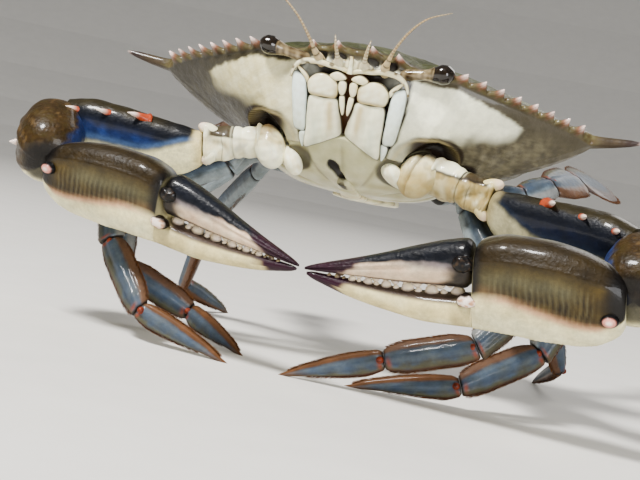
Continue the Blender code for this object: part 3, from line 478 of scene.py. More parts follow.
def mouth_point(across, down, out):
    """Point of the mouth's own plane: across it, down it and out of it."""
    across, down, out = np.broadcast_arrays(across, down, out)
    return (MOUTH_TOP + across[..., None] * np.array([1.0, 0.0, 0.0])
            + down[..., None] * MOUTH_DOWN + out[..., None] * MOUTH_OUT)


def mouth_hollow(points, depth):
    """Share to which each point lies inside the mouth frame, and the points pressed in behind it."""
    q = points - MOUTH_TOP
    down, out = q @ MOUTH_DOWN, q @ MOUTH_OUT
    half = np.interp(down, *np.array(MOUTH_HALF).T)
    inside = ease(half + 0.25, half - 0.35, abs(points[..., 0]))
    inside *= ease(-2.0, -1.2, down) * ease(22.0, 21.0, down) * ease(-9.0, -7.0, out)
    pressed = np.minimum(out, lerp(out, -depth, inside))
    return inside, points + (pressed - out)[..., None] * MOUTH_OUT


# %% Shell skin
CLAW_SOCKET_LIFT = np.array([1.4, -0.8, 1.8])
FLANK_DARK, FLANK_PALE = np.array([(0.066, 0.050, 0.028), (0.190, 0.165, 0.100)])
# Where the brown of the flank begins: its least y at each distance from the midline, and how far
# in from the margin its front band reaches, as a share of the flank.
BROWN_FROM = ((18.0, -20.6), (23.0, -20.2), (27.0, -18.0), (32.0, -15.7), (37.0, -13.2),
              (43.0, -11.2), (47.0, -16.0))
BROWN_BAND = ((0.0, 0.04), (30.0, 0.06), (38.0, 0.10), (44.0, 0.15), (50.0, 0.30))
OLIVE, DARK_OLIVE, PALE_OLIVE = np.array([(0.105, 0.112, 0.045), (0.045, 0.050, 0.022), (0.20, 0.20, 0.11)])
CREAM, WARM_CREAM, GREEN_CREAM = np.array([(0.97, 0.97, 0.78), (0.72, 0.62, 0.34), (0.48, 0.47, 0.27)])
# Seam brown darkens real joints and creases, and is also used as painted shade in sockets, hollows and gaps.
MOTTLE_BROWN, SEAM_AND_SHADE_BROWN = np.array([(0.082, 0.054, 0.024), (0.022, 0.013, 0.007)])
MARK_BLACK, TOOTH_PINK, TOOTH_RED = np.array([(0.012, 0.008, 0.006), (0.80, 0.66, 0.60), (0.34, 0.15, 0.10)])
SPINE_BROWN, SPINE_DARK = np.array([(0.090, 0.066, 0.042), (0.045, 0.028, 0.030)])
MOUTH_BROWN, MEMBRANE_GREY = np.array([(0.17, 0.085, 0.035), (0.21, 0.21, 0.18)])
EYE_SLOT_SHADE, FEELER_PIT_SHADE = np.array([(0.030, 0.022, 0.020), (0.055, 0.048, 0.055)])
# Sockets of the limbs: hip, the way each opens and its radius. The claw's is two balls deep.
CLAW_SOCKET_WAY = np.array([0.83, -0.28, -0.42])
LEG_SOCKET_WAY, SWIM_SOCKET_WAY, SOCKET_ROOM = np.array([0.75, -0.2, -0.6]), np.array([0.75, 0.66, 0.0]), 0.5
UPPER_CLAW_SOCKET, CLAW_SOCKET, WIDE_SOCKET = 6.6, 7.0, 6.0
SOCKETS = [(CLAW_HIP + CLAW_SOCKET_LIFT, CLAW_SOCKET_WAY, UPPER_CLAW_SOCKET),
           (CLAW_HIP, CLAW_SOCKET_WAY, CLAW_SOCKET),
           (SWIM_HIP, SWIM_SOCKET_WAY, SWIM_HIP_RADIUS + SOCKET_ROOM)]
SOCKETS += [(hip, LEG_SOCKET_WAY, radius + SOCKET_ROOM) for hip, radius in zip(LEG_HIPS, LEG_HIP_RADII)]


def mix(colour_a, colour_b, share):
    """Colour from a to b, point by point."""
    return lerp(np.asarray(colour_a), np.asarray(colour_b), np.asarray(share)[..., None])


def back_paint(points, share):
    """Olive back: darker in the grooves, paler and browner to the margin, with small pale specks."""
    x, y = points[..., 0], points[..., 1]
    paint = mix(OLIVE, DARK_OLIVE, 0.5 + 0.5 * noise3(points, 16.0, 3))
    paint = mix(paint, DARK_OLIVE, np.clip(-1.1 * regions(x, y), 0.0, 0.8))
    paint = mix(paint, PALE_OLIVE, 0.45 * np.clip(regions(x, y), 0.0, 1.0))
    paint = mix(paint, PALE_OLIVE, ease(0.35, 0.75, noise3(points, 3.2, 4)) * 0.5)
    return mix(paint, MOTTLE_BROWN, ease(0.86, 1.0, share) * 0.7)


def belly_paint(points, share):
    """Underside: cream, with a mottled brown band at the margin and round the side spines."""
    x, y, z = abs(points[..., 0]), points[..., 1], points[..., 2]
    blotch = noise3(points, 5.0, 5) + 0.6 * noise3(points, 2.0, 6)
    paint = mix(CREAM, GREEN_CREAM, 0.07 + 0.06 * blotch + 0.30 * ease(-8.0, -17.0, z))
    band = np.interp(x, *np.array(BROWN_BAND).T)
    brown = ease(0.03, -0.02, share - band - 0.012 * blotch)
    turn_y = np.interp(x, *np.array(BROWN_FROM).T)
    behind = ease(-2.4, 1.8, y - turn_y + 0.9 * noise3(points, 11.0, 10))
    brown = np.maximum(brown, behind * ease(17.0, 20.0, x))
    # Painted shade: the crab's right flank is mixed towards a duller yellow cream.
    yellow = 0.85 * ease(-2.0, -26.0, points[..., 0]) * (0.85 + 0.15 * blotch)
    paint = mix(paint, mix(WARM_CREAM, GREEN_CREAM, 0.4), yellow)
    cloud = 0.45 + 0.55 * noise3(points, 7.0, 8) + 0.40 * noise3(points, 2.6, 9)
    tone = mix(FLANK_DARK, FLANK_PALE, np.clip(cloud, 0.0, 1.0) * ease(0.04, 0.3, share))
    # Painted shade: the brown on the crab's right side is darkened.
    tone = tone * lerp(0.42, 1.0, ease(-14.0, 6.0, points[..., 0]))[..., None]
    return mix(paint, tone, np.clip(brown, 0.0, 1.0) * 0.93)


def rim_paint(points, tip):
    """Margin: olive brown, its teeth red and then pink, its side spines brown with pink points."""
    paint = mix(MOTTLE_BROWN * 1.3, PALE_OLIVE, 0.4 + 0.3 * noise3(points, 3.0, 7))
    on_spine = ease(60.0, 63.0, abs(points[..., 0]))
    paint = mix(paint, TOOTH_RED, 0.8 * ease(0.25, 0.6, tip) * (1 - on_spine))
    paint = mix(paint, TOOTH_PINK, ease(0.50, 0.85, tip) * (1 - on_spine))
    paint = mix(paint, SPINE_BROWN, 0.9 * on_spine * ease(-0.1, 0.3, tip))
    paint = mix(paint, SPINE_DARK, 0.8 * on_spine * ease(0.45, 0.8, tip))
    return mix(paint, TOOTH_PINK, on_spine * ease(0.90, 0.99, tip))


print("sockets on each side:", len(SOCKETS))

# %% Back and margin
top_share = np.linspace(0.02, 1.0, 56)[:, None] ** 0.9
flat_top = top_share[..., None] * base[None]
top = np.concatenate([flat_top, back_height(base[None], top_share)[..., None]], -1)
fade = ease(1.0, 0.82, top_share)
top[..., 2] += edge_half(base) * ease(0.9, 1.0, top_share) + regions(top[..., 0], top[..., 1]) * fade
top[..., 2] += 0.12 * noise3(top, 7.0, 1) * fade

rim_turn = np.linspace(-0.5, 0.5, 9)[1:-1, None] * math.pi
rim_out = np.cos(rim_turn) ** 0.8
rim_flat = base[None] + rim_out[..., None] * (offset + 0.45 * unit(base) * (1 - tooth[:, None]))
rim_thick = edge_half(base) * -np.sin(rim_turn) * (1.0 - 0.25 * rim_out)
rim_lift = rim_height(base) + TOOTH_LIFT * tooth * rim_out + rim_thick
rim = np.concatenate([rim_flat, rim_lift[..., None]], -1)
print("rings of the back and the margin:", len(top) + len(rim))

# %% Underside
under_share = np.linspace(0.0, 1.0, 58)[:, None]
under = flank(np.broadcast_to(base, (58,) + base.shape), under_share)
under_paint = belly_paint(under, under_share)
folds = 0.35 * hump(under_share, 0.56, 0.05)
folds = folds * ease(16.0, 24.0, abs(under[..., 0])) * ease(0.0, -8.0, under[..., 1])
under[..., 2] += folds + 0.10 * noise3(under, 6.0, 2)
inside, under = mouth_hollow(under, 3.0)
q = under - MOUTH_TOP
aside, down = abs(q[..., 0]), q @ MOUTH_DOWN
membrane = ease(3.4, 1.2, np.hypot((aside - 12.0) / 1.3, down - 0.6))
# Painted shade in the hollow behind the jaws: seam brown at its sides, browner in the middle, grey membrane
# near its upper corners.
hollow_paint = mix(SEAM_AND_SHADE_BROWN, MOUTH_BROWN, ease(4.5, 2.0, aside))
under_paint = mix(under_paint, mix(hollow_paint, MEMBRANE_GREY, membrane), inside)
feeler_pit = ease(1.15, 0.75, np.hypot((aside - 4.4) / 2.5, (down + 3.6) / 1.5))
eye_slot = ease(1.15, 0.8, np.hypot((aside - 18.5) / 8.0, (down + 4.6 - 0.06 * (aside - 18.5)) / 1.25))
eye_slot = np.maximum(eye_slot, ease(1.2, 0.8, np.hypot((aside - 9.4) / 2.0, (down + 3.4) / 1.5)))
under = under - np.maximum(feeler_pit, eye_slot)[..., None] * 1.6 * MOUTH_OUT
# Painted shade in the pressed-in eye slots and feeler pits.
under_paint = mix(under_paint, EYE_SLOT_SHADE, 0.93 * eye_slot)
under_paint = mix(under_paint, FEELER_PIT_SHADE, 0.9 * feeler_pit)
for side in (1, -1):
    for hip, outward, radius in SOCKETS:
        centre = mirrored(hip, side)
        near = np.linalg.norm(under - centre, axis=-1)
        way = unit(mirrored(outward, side))
        if hip is CLAW_HIP:
            under_paint = mix(under_paint, WARM_CREAM * 1.1, 0.4 * hump(near, radius + 2.2, 0.5))
        # Painted shade inside each socket; in the claw sockets it fades towards the midline.
        dark = 0.95 * in_socket(under, centre, way, radius)
        if radius > WIDE_SOCKET:
            dark = dark * lerp(0.25, 1.0, ease(15.5, 20.5, abs(under[..., 0])))
        under_paint = mix(under_paint, SEAM_AND_SHADE_BROWN * 1.3, dark)
        under = bowl(under, centre, way, radius)
print("depth of the underside:", round(float(-under[..., 2].min()), 1), "mm")

# %% Whole shell
bed_flat = plate_outline(base, 1.5)
bed = np.concatenate([bed_flat, np.full((len(base), 1), PLATE_ROOF_Z)], -1)[None]
bed_paint = np.full(bed.shape, 1.0) * SEAM_AND_SHADE_BROWN
rim_share = np.broadcast_to(np.linspace(0.0, 1.0, 7)[:, None], rim.shape[:2])
tip = tooth * np.broadcast_to(rim_out, rim.shape[:2])
beady = [np.full(top.shape[:2], 1.0), lerp(1.0, 0.2, rim_share), np.full(under.shape[:2], 0.10),
         np.full(bed.shape[:2], 0.0)]
shell_points = np.concatenate([top, rim, under, bed])
shell_paint = np.concatenate([back_paint(top, top_share), rim_paint(rim, tip), under_paint, bed_paint])
skin = shell(shell_points, shell_paint, np.concatenate(beady))
make_piece("shell_skin", [skin], BACK_FINISH, ["carapace"])
print("shell triangles:", pieces["shell_skin"])

# %% [markdown]
# Breast plate and tail flap
#
# Between the legs a crab carries a broad breast plate of fused segments, parted by shallow seams
# that run out between the leg roots. The male's tail is a narrow flap in the shape of a T, folded
# forward in a groove under it. Both are low domes, so a polar grid over the plate's own outline
# gives them, and the seams are hollows added by formula, which also take the darker paint.

# %% Breast plate
SEAM_TURNS = (-62.0, -24.0, 2.0, 26.0, 50.0)
PLATE_SHADE, PLATE_PALE = np.array([(0.50, 0.47, 0.29), (0.70, 0.69, 0.52)])
# Knobs between the plate and the claw sockets: their place on the left and the way each leans.
KNOB_PLACE = np.array([14.7, -12.4, -22.5])
KNOB_WAYS = {1: unit([0.42, 0.88, -0.20]), -1: unit([-0.50, 0.45, 0.74])}
KNOB_LENGTH, KNOB_WIDTH, KNOB_DEPTH = 5.4, 2.3, 3.3
# The dark comma as a row of discs: place across and along the plate, and radius.
COMMA = ((-3.0, -14.9, 1.2), (-2.7, -14.4, 1.6), (-2.3, -13.9, 1.65), (-1.9, -13.2, 1.4),
         (-1.5, -12.4, 1.2), (-1.1, -11.6, 1.2), (-0.7, -10.6, 1.25), (-0.3, -9.6, 1.2),
         (0.0, -8.6, 1.1), (0.2, -7.6, 0.85), (0.4, -6.4, 0.65))
PLATE_SOCKETS = ((CLAW_HIP, CLAW_SOCKET), *zip(LEG_HIPS, (4.2, 4.2, 4.0)), (SWIM_HIP, 4.7))
PLATE_SOCKET_WAY = np.array([0.80, -0.25, -0.55])


def breast_plate(turn, share):
    """Underside of the plate: edge height at share 1, keel at 0, by 1 less share to the 4.2."""
    way = np.stack([np.cos(turn), np.sin(turn)], -1)
    outer = plate_outline(way + np.array([0.0, PLATE_CENTRE_Y]), 0.4)
    apex = hump(outer[..., 0], 0.0, 5.5) * (outer[..., 1] < 0)
    flat = lerp(np.array([0.0, PLATE_CENTRE_Y]), outer, share[..., None])
    front = 1.0 - 0.12 * np.maximum(0.0, flat[..., 1]) / PLATE_HALF_Y
    low = lerp(plate_edge_z(outer), PLATE_KEEL_Z * front, 1.0 - share**4.2)
    lifted = apex * ease(0.72, 1.0, share)
    flat[..., 1] -= 3.2 * lifted
    return np.concatenate([flat, (low + 2.2 * lifted)[..., None]], -1)


def comma_share(points):
    """Share of the dark comma at each point: the deepest of a row of small discs."""
    x, y = points[..., 0], points[..., 1]
    return np.max([ease(r + 0.25, r - 0.35, np.hypot(x - at_x, y - at_y)) for at_x, at_y, r in COMMA], axis=0)


def plate_knob(side):
    """Egg-shaped knob beside the plate: rings along its way, its girth less towards the far end."""
    way = KNOB_WAYS[side]
    rise, ring = np.meshgrid(np.linspace(-1.5, 1.5, 28), round_turns(40)[0], indexing="ij")
    across = unit(np.cross(way, [0.0, 1.0, 0.0]))
    other = np.cross(way, across)
    girth = np.cos(rise) * (1.0 - 0.35 * np.sin(rise))
    reach = np.cos(ring)[..., None] * across * KNOB_WIDTH + np.sin(ring)[..., None] * other * KNOB_DEPTH
    knob = np.sin(rise)[..., None] * way * KNOB_LENGTH + girth[..., None] ** 0.8 * reach
    knob = knob + mirrored(KNOB_PLACE, side)
    return shell(knob, mix(CREAM, WARM_CREAM, 0.3 + 0.3 * noise3(knob, 3.0, 16)), 0.1)


turns, shares = np.meshgrid(round_turns(288)[0], np.linspace(0.0, 1.0, 76)[1:], indexing="xy")
plate = breast_plate(turns, shares)
side_turn = np.degrees(np.arctan2(plate[..., 1] - PLATE_CENTRE_Y, abs(plate[..., 0])))
seam = sum(hump(side_turn, t, 110.0 / (8.0 + 60.0 * shares)) for t in SEAM_TURNS) * ease(0.30, 0.5, shares)
mid = hump(plate[..., 0], 0.0, 0.7) * ease(1.0, 0.9, shares) * ease(-8.0, -12.0, plate[..., 1])
plate[..., 2] += 0.36 * seam + 0.25 * mid + 0.12 * noise3(plate, 8.0, 11)
plate_paint = mix(PLATE_SHADE, PLATE_PALE, 0.45 + 0.40 * noise3(plate, 9.0, 12))
plate_paint = mix(plate_paint, GREEN_CREAM, 0.45 * ease(0.55, 0.95, shares))
plate_paint = mix(plate_paint, MOTTLE_BROWN, 0.30 * np.clip(seam, 0, 1) ** 2 + 0.2 * mid**2)
# Painted shade: a dark ring on the plate round the foot of each knob.
for side in (1, -1):
    way, from_knob = KNOB_WAYS[side], plate - mirrored(KNOB_PLACE, side)
    along_knob = from_knob @ way
    beside = np.linalg.norm(from_knob[..., :2] - along_knob[..., None] * way[:2], axis=-1)
    ring = np.hypot(along_knob / 5.6, beside / (3.3 - 0.28 * along_knob))
    plate_paint = mix(plate_paint, SEAM_AND_SHADE_BROWN, 0.8 * ease(1.28, 1.05, ring))
plate[..., 2] += 0.5 * comma_share(plate)
plate_paint = mix(plate_paint, MARK_BLACK, comma_share(plate))
for side in (1, -1):
    for hip, radius in PLATE_SOCKETS:
        centre = mirrored(hip, side)
        near = np.linalg.norm(plate - centre, axis=-1)
        # Painted shade inside the sockets of the breast plate, weaker in the wide claw socket.
        dark = 0.8 if radius < WIDE_SOCKET else 0.35
        plate_paint = mix(plate_paint, SEAM_AND_SHADE_BROWN * 1.6, dark * ease(radius + 0.7, radius - 0.2, near))
        plate = bowl(plate, centre, unit(mirrored(PLATE_SOCKET_WAY, side)), radius)
roof_flat = plate_outline(np.stack([np.cos(turns[0]), np.sin(turns[0]) + PLATE_CENTRE_Y], -1), 1.6)
roof = np.concatenate([roof_flat, np.full((288, 1), PLATE_ROOF_Z - 0.4)], -1)[None]
roof_paint = np.full(roof.shape, 1.0) * SEAM_AND_SHADE_BROWN
plate_shells = [shell(np.concatenate([plate, roof]), np.concatenate([plate_paint, roof_paint]), 0.1)]
plate_shells += [plate_knob(side) for side in (1, -1)]
make_piece("breast_plate", plate_shells, BELLY_FINISH, ["sternum"])
print("breast plate triangles:", pieces["breast_plate"])

# %% Tail flap
# Half width of the flap at each y, from its root to its tip, and where its segments meet.
FLAP = ((24.5, 9.0), (21.0, 10.0), (17.5, 9.0), (14.0, 5.0), (9.0, 3.3), (2.0, 2.9), (-5.0, 2.6), (-9.0, 1.6))
FLAP_SEAMS = (21.6, 18.6, 15.6, 9.4, 3.2, -4.2)
FLAP_TIP = np.array([0.56, 0.54, 0.36])


def tail_flap(y, turn):
    """Ring at y: a flat half width from the table, low dome below and a flat face above."""
    half = table_at(np.array(FLAP)[::-1], y)[0][:, None]
    y = y[:, None] + 0 * turn
    rise = PLATE_KEEL_Z - 0.7 + 0.24 * np.maximum(0.0, y - 4.0)
    across = np.cos(turn)
    low = np.sin(turn)
    drop = np.where(low > 0, -0.9 * abs(low) ** 0.8, 1.6 * abs(low) ** 0.5)
    return np.stack([half * np.sign(across) * abs(across) ** 0.85, y, rise + 0.5 + drop], -1)


flap = tail_flap(np.linspace(-9.3, 24.8, 130), np.linspace(0, math.tau, 56, endpoint=False)[None])
joint = sum(hump(flap[..., 1] + 0.03 * flap[..., 0] ** 2 * 0.2, y, 0.35) for y in FLAP_SEAMS)
flap[..., 2] += 0.4 * joint + 0.08 * noise3(flap, 5.0, 14)
flap_paint = mix(CREAM, WARM_CREAM, 0.5 + 0.4 * noise3(flap, 7.0, 15))
flap_paint = mix(flap_paint, MOTTLE_BROWN, 0.55 * joint)
flap_paint = mix(flap_paint, FLAP_TIP, 0.85 * ease(2.0, -5.0, flap[..., 1]))
flap_paint = mix(flap_paint, MARK_BLACK, 0.9 * comma_share(flap))
make_piece("tail_flap", [shell(flap, flap_paint, 0.15)], BELLY_FINISH, ["abdomen"])
print("tail flap triangles:", pieces["tail_flap"])

# %% [markdown]
# Limb segments
#
# Each limb is a row of stiff tubes that meet at joints. A tube is a profile carried along a
# straight axis: at each station a table gives its half height, half width and how far it rides
# above the axis, and the profile is a rounded shape whose corners can be sharpened. The same
# joints as in the solids place them, so each finished tube covers its solid.

# %% Axes and profiles
def axes(start, end, facing, side):
    """Unit vectors along a segment, up its height and out of its face."""
    along = unit(end - start)
    face = unit(facing - along * np.dot(facing, along))
    return along, np.cross(face, along) * side, face


def oval(turn, power=1.0):
    """Unit profile: cosine and sine of the turn, each raised to a power. Under 1 squares it."""
    height, width = np.cos(turn), np.sin(turn)
    return np.sign(height) * abs(height) ** power, np.sign(width) * abs(width) ** power


def three_sided(turn, bulge, crest):
    """Rounded triangle: the reach swells three times a turn, first at the crest angle."""
    reach = 1.0 + bulge * np.cos(3 * (turn - crest))
    return reach * np.cos(turn), reach * np.sin(turn)


def ellipsoid(centre, frame_axes, radii, rows=12, cols=16):
    """Ball stretched along three axes: rows run from pole to pole along the first of them."""
    rise = np.linspace(-0.985, 0.985, rows)[:, None] * math.pi / 2
    turn = round_turns(cols)
    girth = np.cos(rise)
    unit_ball = np.stack([np.sin(rise) + 0 * turn, girth * np.cos(turn), girth * np.sin(turn)], -1)
    return centre + (unit_ball * np.array(radii)) @ np.stack(frame_axes)


def thorn(foot, tip, radius, bend, root, flare=0.55, rows=14, cols=12):
    """White-tipped spine: its radius falls as 1 less share to the 0.8, and its axis bows by a sine."""
    share = np.linspace(0.0, 0.995, rows)[:, None, None]
    axis = unit(tip - foot)
    across = unit(np.cross(axis, [0.3, 0.2, 0.9]))
    other = np.cross(axis, across)
    turn = round_turns(cols)[..., None]
    reach = radius * (1.0 - share) ** 0.8 * (1.0 + 0.5 * np.exp(-share * 9.0))
    ring = np.cos(turn) * across + np.sin(turn) * other
    points = foot + (tip - foot) * share + bend * np.sin(math.pi * share) + reach * ring
    share = np.linspace(0.0, 1.0, rows)[:, None] + 0 * points[..., 0]
    return shell(points, mix(root, SPINE_WHITE, ease(flare - 0.2, flare + 0.15, share)), 0.0)


print("half a turn on an oval of power 0.8:", np.round(oval(math.pi, 0.8), 2))

# %% Claw axes and tables
# Elbow, knee, wrist and tips of each claw.
LEFT_CLAW = np.array([(42.0, -14.0, -24.0), (79.0, -27.5, -36.0), (78.0, -42.0, -48.5), (3.4, -36.0, -55.8)])
RIGHT_CLAW = np.array([(-39.0, -15.0, -24.0), (-77.5, -17.0, -28.0), (-72.0, -28.0, -41.0),
                       (1.7, -36.4, -55.6)])
CLAW_TILT = math.radians(32.0)
CLAW_LENGTH = 78.2
GIRTHS = {1: 1.0, -1: 0.9}
BASE_TABLE = ((-0.24, 2.4, 2.4, 0.0), (-0.12, 4.6, 4.6, 0.0), (0.05, 6.1, 5.9, 0.0), (0.2, 6.6, 6.2, 0.0),
              (0.33, 5.8, 5.4, 0.0), (0.41, 4.4, 4.2, 0.0), (0.52, 4.6, 4.4, 0.0), (0.8, 4.6, 4.2, 0.0),
              (0.93, 5.0, 4.5, 0.0), (0.975, 4.9, 4.4, 0.0), (1.0, 4.2, 3.8, 0.0))
ARM_TABLE = ((0.0, 4.0, 4.0, -1.0), (0.02, 4.6, 4.5, -1.1), (0.07, 5.4, 4.9, -1.5), (0.18, 6.8, 5.5, -1.7),
             (0.38, 7.4, 6.0, -0.8), (0.62, 7.9, 6.6, 0.5), (0.85, 8.2, 6.8, 1.5), (1.05, 7.0, 5.8, 1.9))
WRIST_HALVES, WRIST_OUT, WRIST_UP = (11.8, 10.2, 9.0), 4.4, 1.0
# Palm running on into the fixed finger: distance, low edge, high edge, half width, inward shift.
PALM_TABLE = ((-3.0, -7.0, 3.5, 3.4, 0.0), (-2.2, -8.6, 4.8, 4.2, 0.1), (0.5, -10.6, 6.8, 5.4, 0.4),
              (4.0, -12.2, 8.4, 6.3, 0.9), (9.0, -12.9, 10.0, 7.1, 1.6), (17.0, -13.0, 11.3, 7.6, 2.6),
              (26.0, -12.2, 11.6, 7.2, 3.2), (31.0, -11.8, 10.7, 6.3, 3.3), (33.4, -11.7, 9.7, 5.5, 3.4),
              (34.3, -11.7, 8.4, 5.2, 3.4), (34.7, -11.7, -2.2, 4.9, 3.3), (35.6, -11.7, -3.7, 4.7, 3.3),
              (46.0, -11.4, -4.0, 3.9, 2.8), (56.0, -9.5, -3.3, 3.2, 1.9), (66.0, -6.7, -2.1, 2.3, 0.9),
              (73.0, -4.0, -1.2, 1.4, 0.3), (76.6, -2.4, -0.8, 0.8, 0.0), (77.8, -1.6, -0.9, 0.35, -0.1))
DACTYL_TABLE = ((34.9, 0.9, 7.3, 2.8, 3.3), (35.4, -0.9, 9.0, 4.2, 3.3), (37.0, -2.0, 10.0, 5.0, 3.3),
                (41.0, -1.9, 9.5, 4.6, 3.2), (50.0, -1.8, 7.4, 3.8, 2.5), (58.0, -1.4, 5.2, 3.0, 1.7),
                (66.0, -0.9, 3.3, 2.1, 0.9), (73.0, -0.6, 1.8, 1.3, 0.3), (77.0, -0.4, 0.8, 0.7, 0.0),
                (78.3, -0.3, 0.3, 0.3, -0.1))


def claw_frame(claw, side):
    """Axes of a claw: along to the tips, up to the moving finger, and out of the outer face."""
    along = unit(claw[3] - claw[2])
    up = np.array([0.0, -math.sin(CLAW_TILT), math.cos(CLAW_TILT)])
    up = unit(up - along * np.dot(up, along))
    return along, up, np.cross(up, along) * side


def claw_point(claw, side, distance, height, width):
    """Point of a claw: distance along it, scaled to its real length, height and width by its girth."""
    along, up, out = claw_frame(claw, side)
    wrist, tips = claw[2:]
    scale = np.linalg.norm(tips - wrist) / CLAW_LENGTH
    distance, height, width = np.broadcast_arrays(distance, height, width)
    across = (height[..., None] * up + width[..., None] * out) * GIRTHS[side]
    return wrist + distance[..., None] * scale * along + across


def claw_tube(claw, side, table, distance, turn, power, relief=0.0):
    """Tube between the table's low and high edges, with its profile's corners squared by power.

    The power may differ from station to station. The palm grows boxier to its end, so that its
    lower half runs on into the fixed finger without a step.
    """
    low, high, half, shift = (column[:, None] for column in table_at(table, distance))
    height, width = oval(turn, power)
    middle, reach = (low + high) / 2, (high - low) / 2
    swell = 1.0 + relief / np.maximum(reach, 0.5)
    inward = width * half * swell - shift
    return claw_point(claw, side, distance[:, None], middle + height * reach * swell, inward)


print("claw length", round(float(np.linalg.norm(LEFT_CLAW[3] - LEFT_CLAW[2])), 1), "mm")

# %% [markdown]
# Colours of the claws
#
# A blue crab's claw is two-faced. Above a long pale-orange ridge the outer face is olive brown with
# fine upright streaks, and below it the shell is cream. The moving finger is navy along its back,
# pink-tan on its side and dark purple at the tip, and the arm is navy and bright blue under a row
# of orange spines. Height and width on the unit profile say where on the tube a point lies, so
# every patch is a smooth step in those two and in the distance along it.

# %% Claw paints
PALM_OLIVE, PALM_DARK = np.array([(0.100, 0.072, 0.020), (0.020, 0.012, 0.005)])
STREAK_PALE, SHEEN_GREEN = np.array([(0.16, 0.155, 0.105), (0.14, 0.14, 0.095)])
PALM_TOP, PALM_CREAM = np.array([(0.038, 0.026, 0.010), (0.82, 0.77, 0.50)])
CREAM_SHADE, RIDGE_ORANGE, KNOB_PINK = np.array([(0.50, 0.56, 0.52), (0.58, 0.36, 0.23), (0.66, 0.33, 0.27)])
PURPLE, BITE_SHADE_PURPLE, LILAC = np.array([(0.042, 0.010, 0.026), (0.040, 0.018, 0.022), (0.32, 0.36, 0.52)])
NAVY, BRIGHT_BLUE, PALE_BLUE_HIGHLIGHT = np.array([(0.011, 0.014, 0.023), (0.038, 0.072, 0.205), (0.16, 0.25, 0.42)])
DEEP_BLACK, HINGE_BROWN = np.array([(0.008, 0.007, 0.008), (0.060, 0.038, 0.022)])
PINK_TAN, SIDE_CREAM, TOOTH_WHITE = np.array([(0.62, 0.47, 0.34), (0.68, 0.58, 0.44), (0.72, 0.62, 0.54)])
SPINE_ORANGE, SPINE_WHITE = np.array([(0.42, 0.095, 0.038), (0.85, 0.74, 0.66)])
ARM_TOP, ARM_REAR = np.array([(0.046, 0.037, 0.016), (0.16, 0.20, 0.20)])
WRIST_BROWN, WRIST_FLECK = np.array([(0.052, 0.027, 0.008), (0.20, 0.14, 0.06)])
STEM_YELLOW, STEM_STAIN = np.array([(0.40, 0.31, 0.125), (0.30, 0.24, 0.11)])
BULB_SHADE, SOCKET_SHADE = np.array([(0.40, 0.46, 0.50), (0.36, 0.33, 0.20)])


def palm_ridge(distance):
    """Height of the palm's long ridge on the unit profile: it climbs from the wrist to the hinge."""
    return lerp(-0.44, -0.10, ease(0.0, 34.0, distance))


def palm_paint(points, distance, height, width):
    """Palm and fixed finger: streaked olive above the ridge, cream below, purple at the tip."""
    blotch = noise3(points, 5.0, 21)
    ridge = palm_ridge(distance)
    outer = ease(-0.25, 0.15, width)
    slant = 2.6 * height + 1.8 * noise3(points, 11.0, 28) + 0.7 * noise3(points, 3.0, 29)
    streak = 0.5 + 0.5 * np.sin(distance * math.tau / 1.5 + slant)
    strength = ease(0.55, 0.15, height) * ease(1.0, 6.0, distance) * ease(33.0, 27.0, distance)
    strength = strength * np.clip(0.75 + 0.45 * noise3(points, 4.5, 30), 0.15, 1.0)
    face = mix(PALM_OLIVE, PALM_DARK, 0.18 + 0.30 * blotch)
    face = mix(face, PALM_DARK, 0.85 * streak**2 * strength)
    face = mix(face, STREAK_PALE, 0.45 * (1.0 - streak) ** 3 * strength)
    face = mix(face, SHEEN_GREEN, 0.5 * hump(height, 0.28, 0.22) * ease(4.0, 12.0, distance))
    face = mix(face, PALM_TOP, 0.85 * ease(0.50, 0.64, height))
    face = mix(face, DEEP_BLACK, 0.9 * np.maximum(ease(3.5, -1.0, distance), ease(31.0, 34.0, distance)))
    inner = mix(mix(LILAC, PALM_CREAM, 0.5 + 0.4 * blotch), NAVY, 0.7 * ease(0.45, 0.8, height))
    cream = mix(PALM_CREAM, WARM_CREAM, 0.30 + 0.25 * blotch)
    cream = mix(cream, CREAM_SHADE, 0.25 * hump(height, -0.75, 0.25))
    warm = 0.85 * ease(33.0, 38.0, distance) * np.clip(0.8 + 0.3 * blotch, 0.0, 1.0)
    cream = mix(cream, WARM_CREAM * 0.85, warm)
    above = ease(ridge - 0.05, ridge + 0.06, height) * ease(35.0, 34.0, distance)
    paint = mix(cream, mix(inner, face, outer), above)
    line = hump(height, ridge, 0.085) * outer * ease(-1.0, 3.0, distance) * ease(34.5, 31.0, distance)
    paint = mix(paint, RIDGE_ORANGE, 0.75 * line)
    # Painted shade where the fingers meet: the top of the fixed finger by the hinge.
    bite_shade = ease(0.50, 0.78, height) * ease(35.0, 37.0, distance)
    paint = mix(paint, BITE_SHADE_PURPLE, 0.92 * bite_shade)
    ring = np.hypot(distance - 35.6, (height + 0.15 * ease(34.0, 36.0, distance)) * 3.0)
    paint = mix(paint, WARM_CREAM * 0.55, 0.5 * ease(5.5, 3.5, ring) * outer * ease(34.4, 34.8, distance))
    return mix(paint, PURPLE, ease(67.0 + 2.0 * blotch, 71.0 + 2.0 * blotch, distance + 2.0 * (height > 0)))


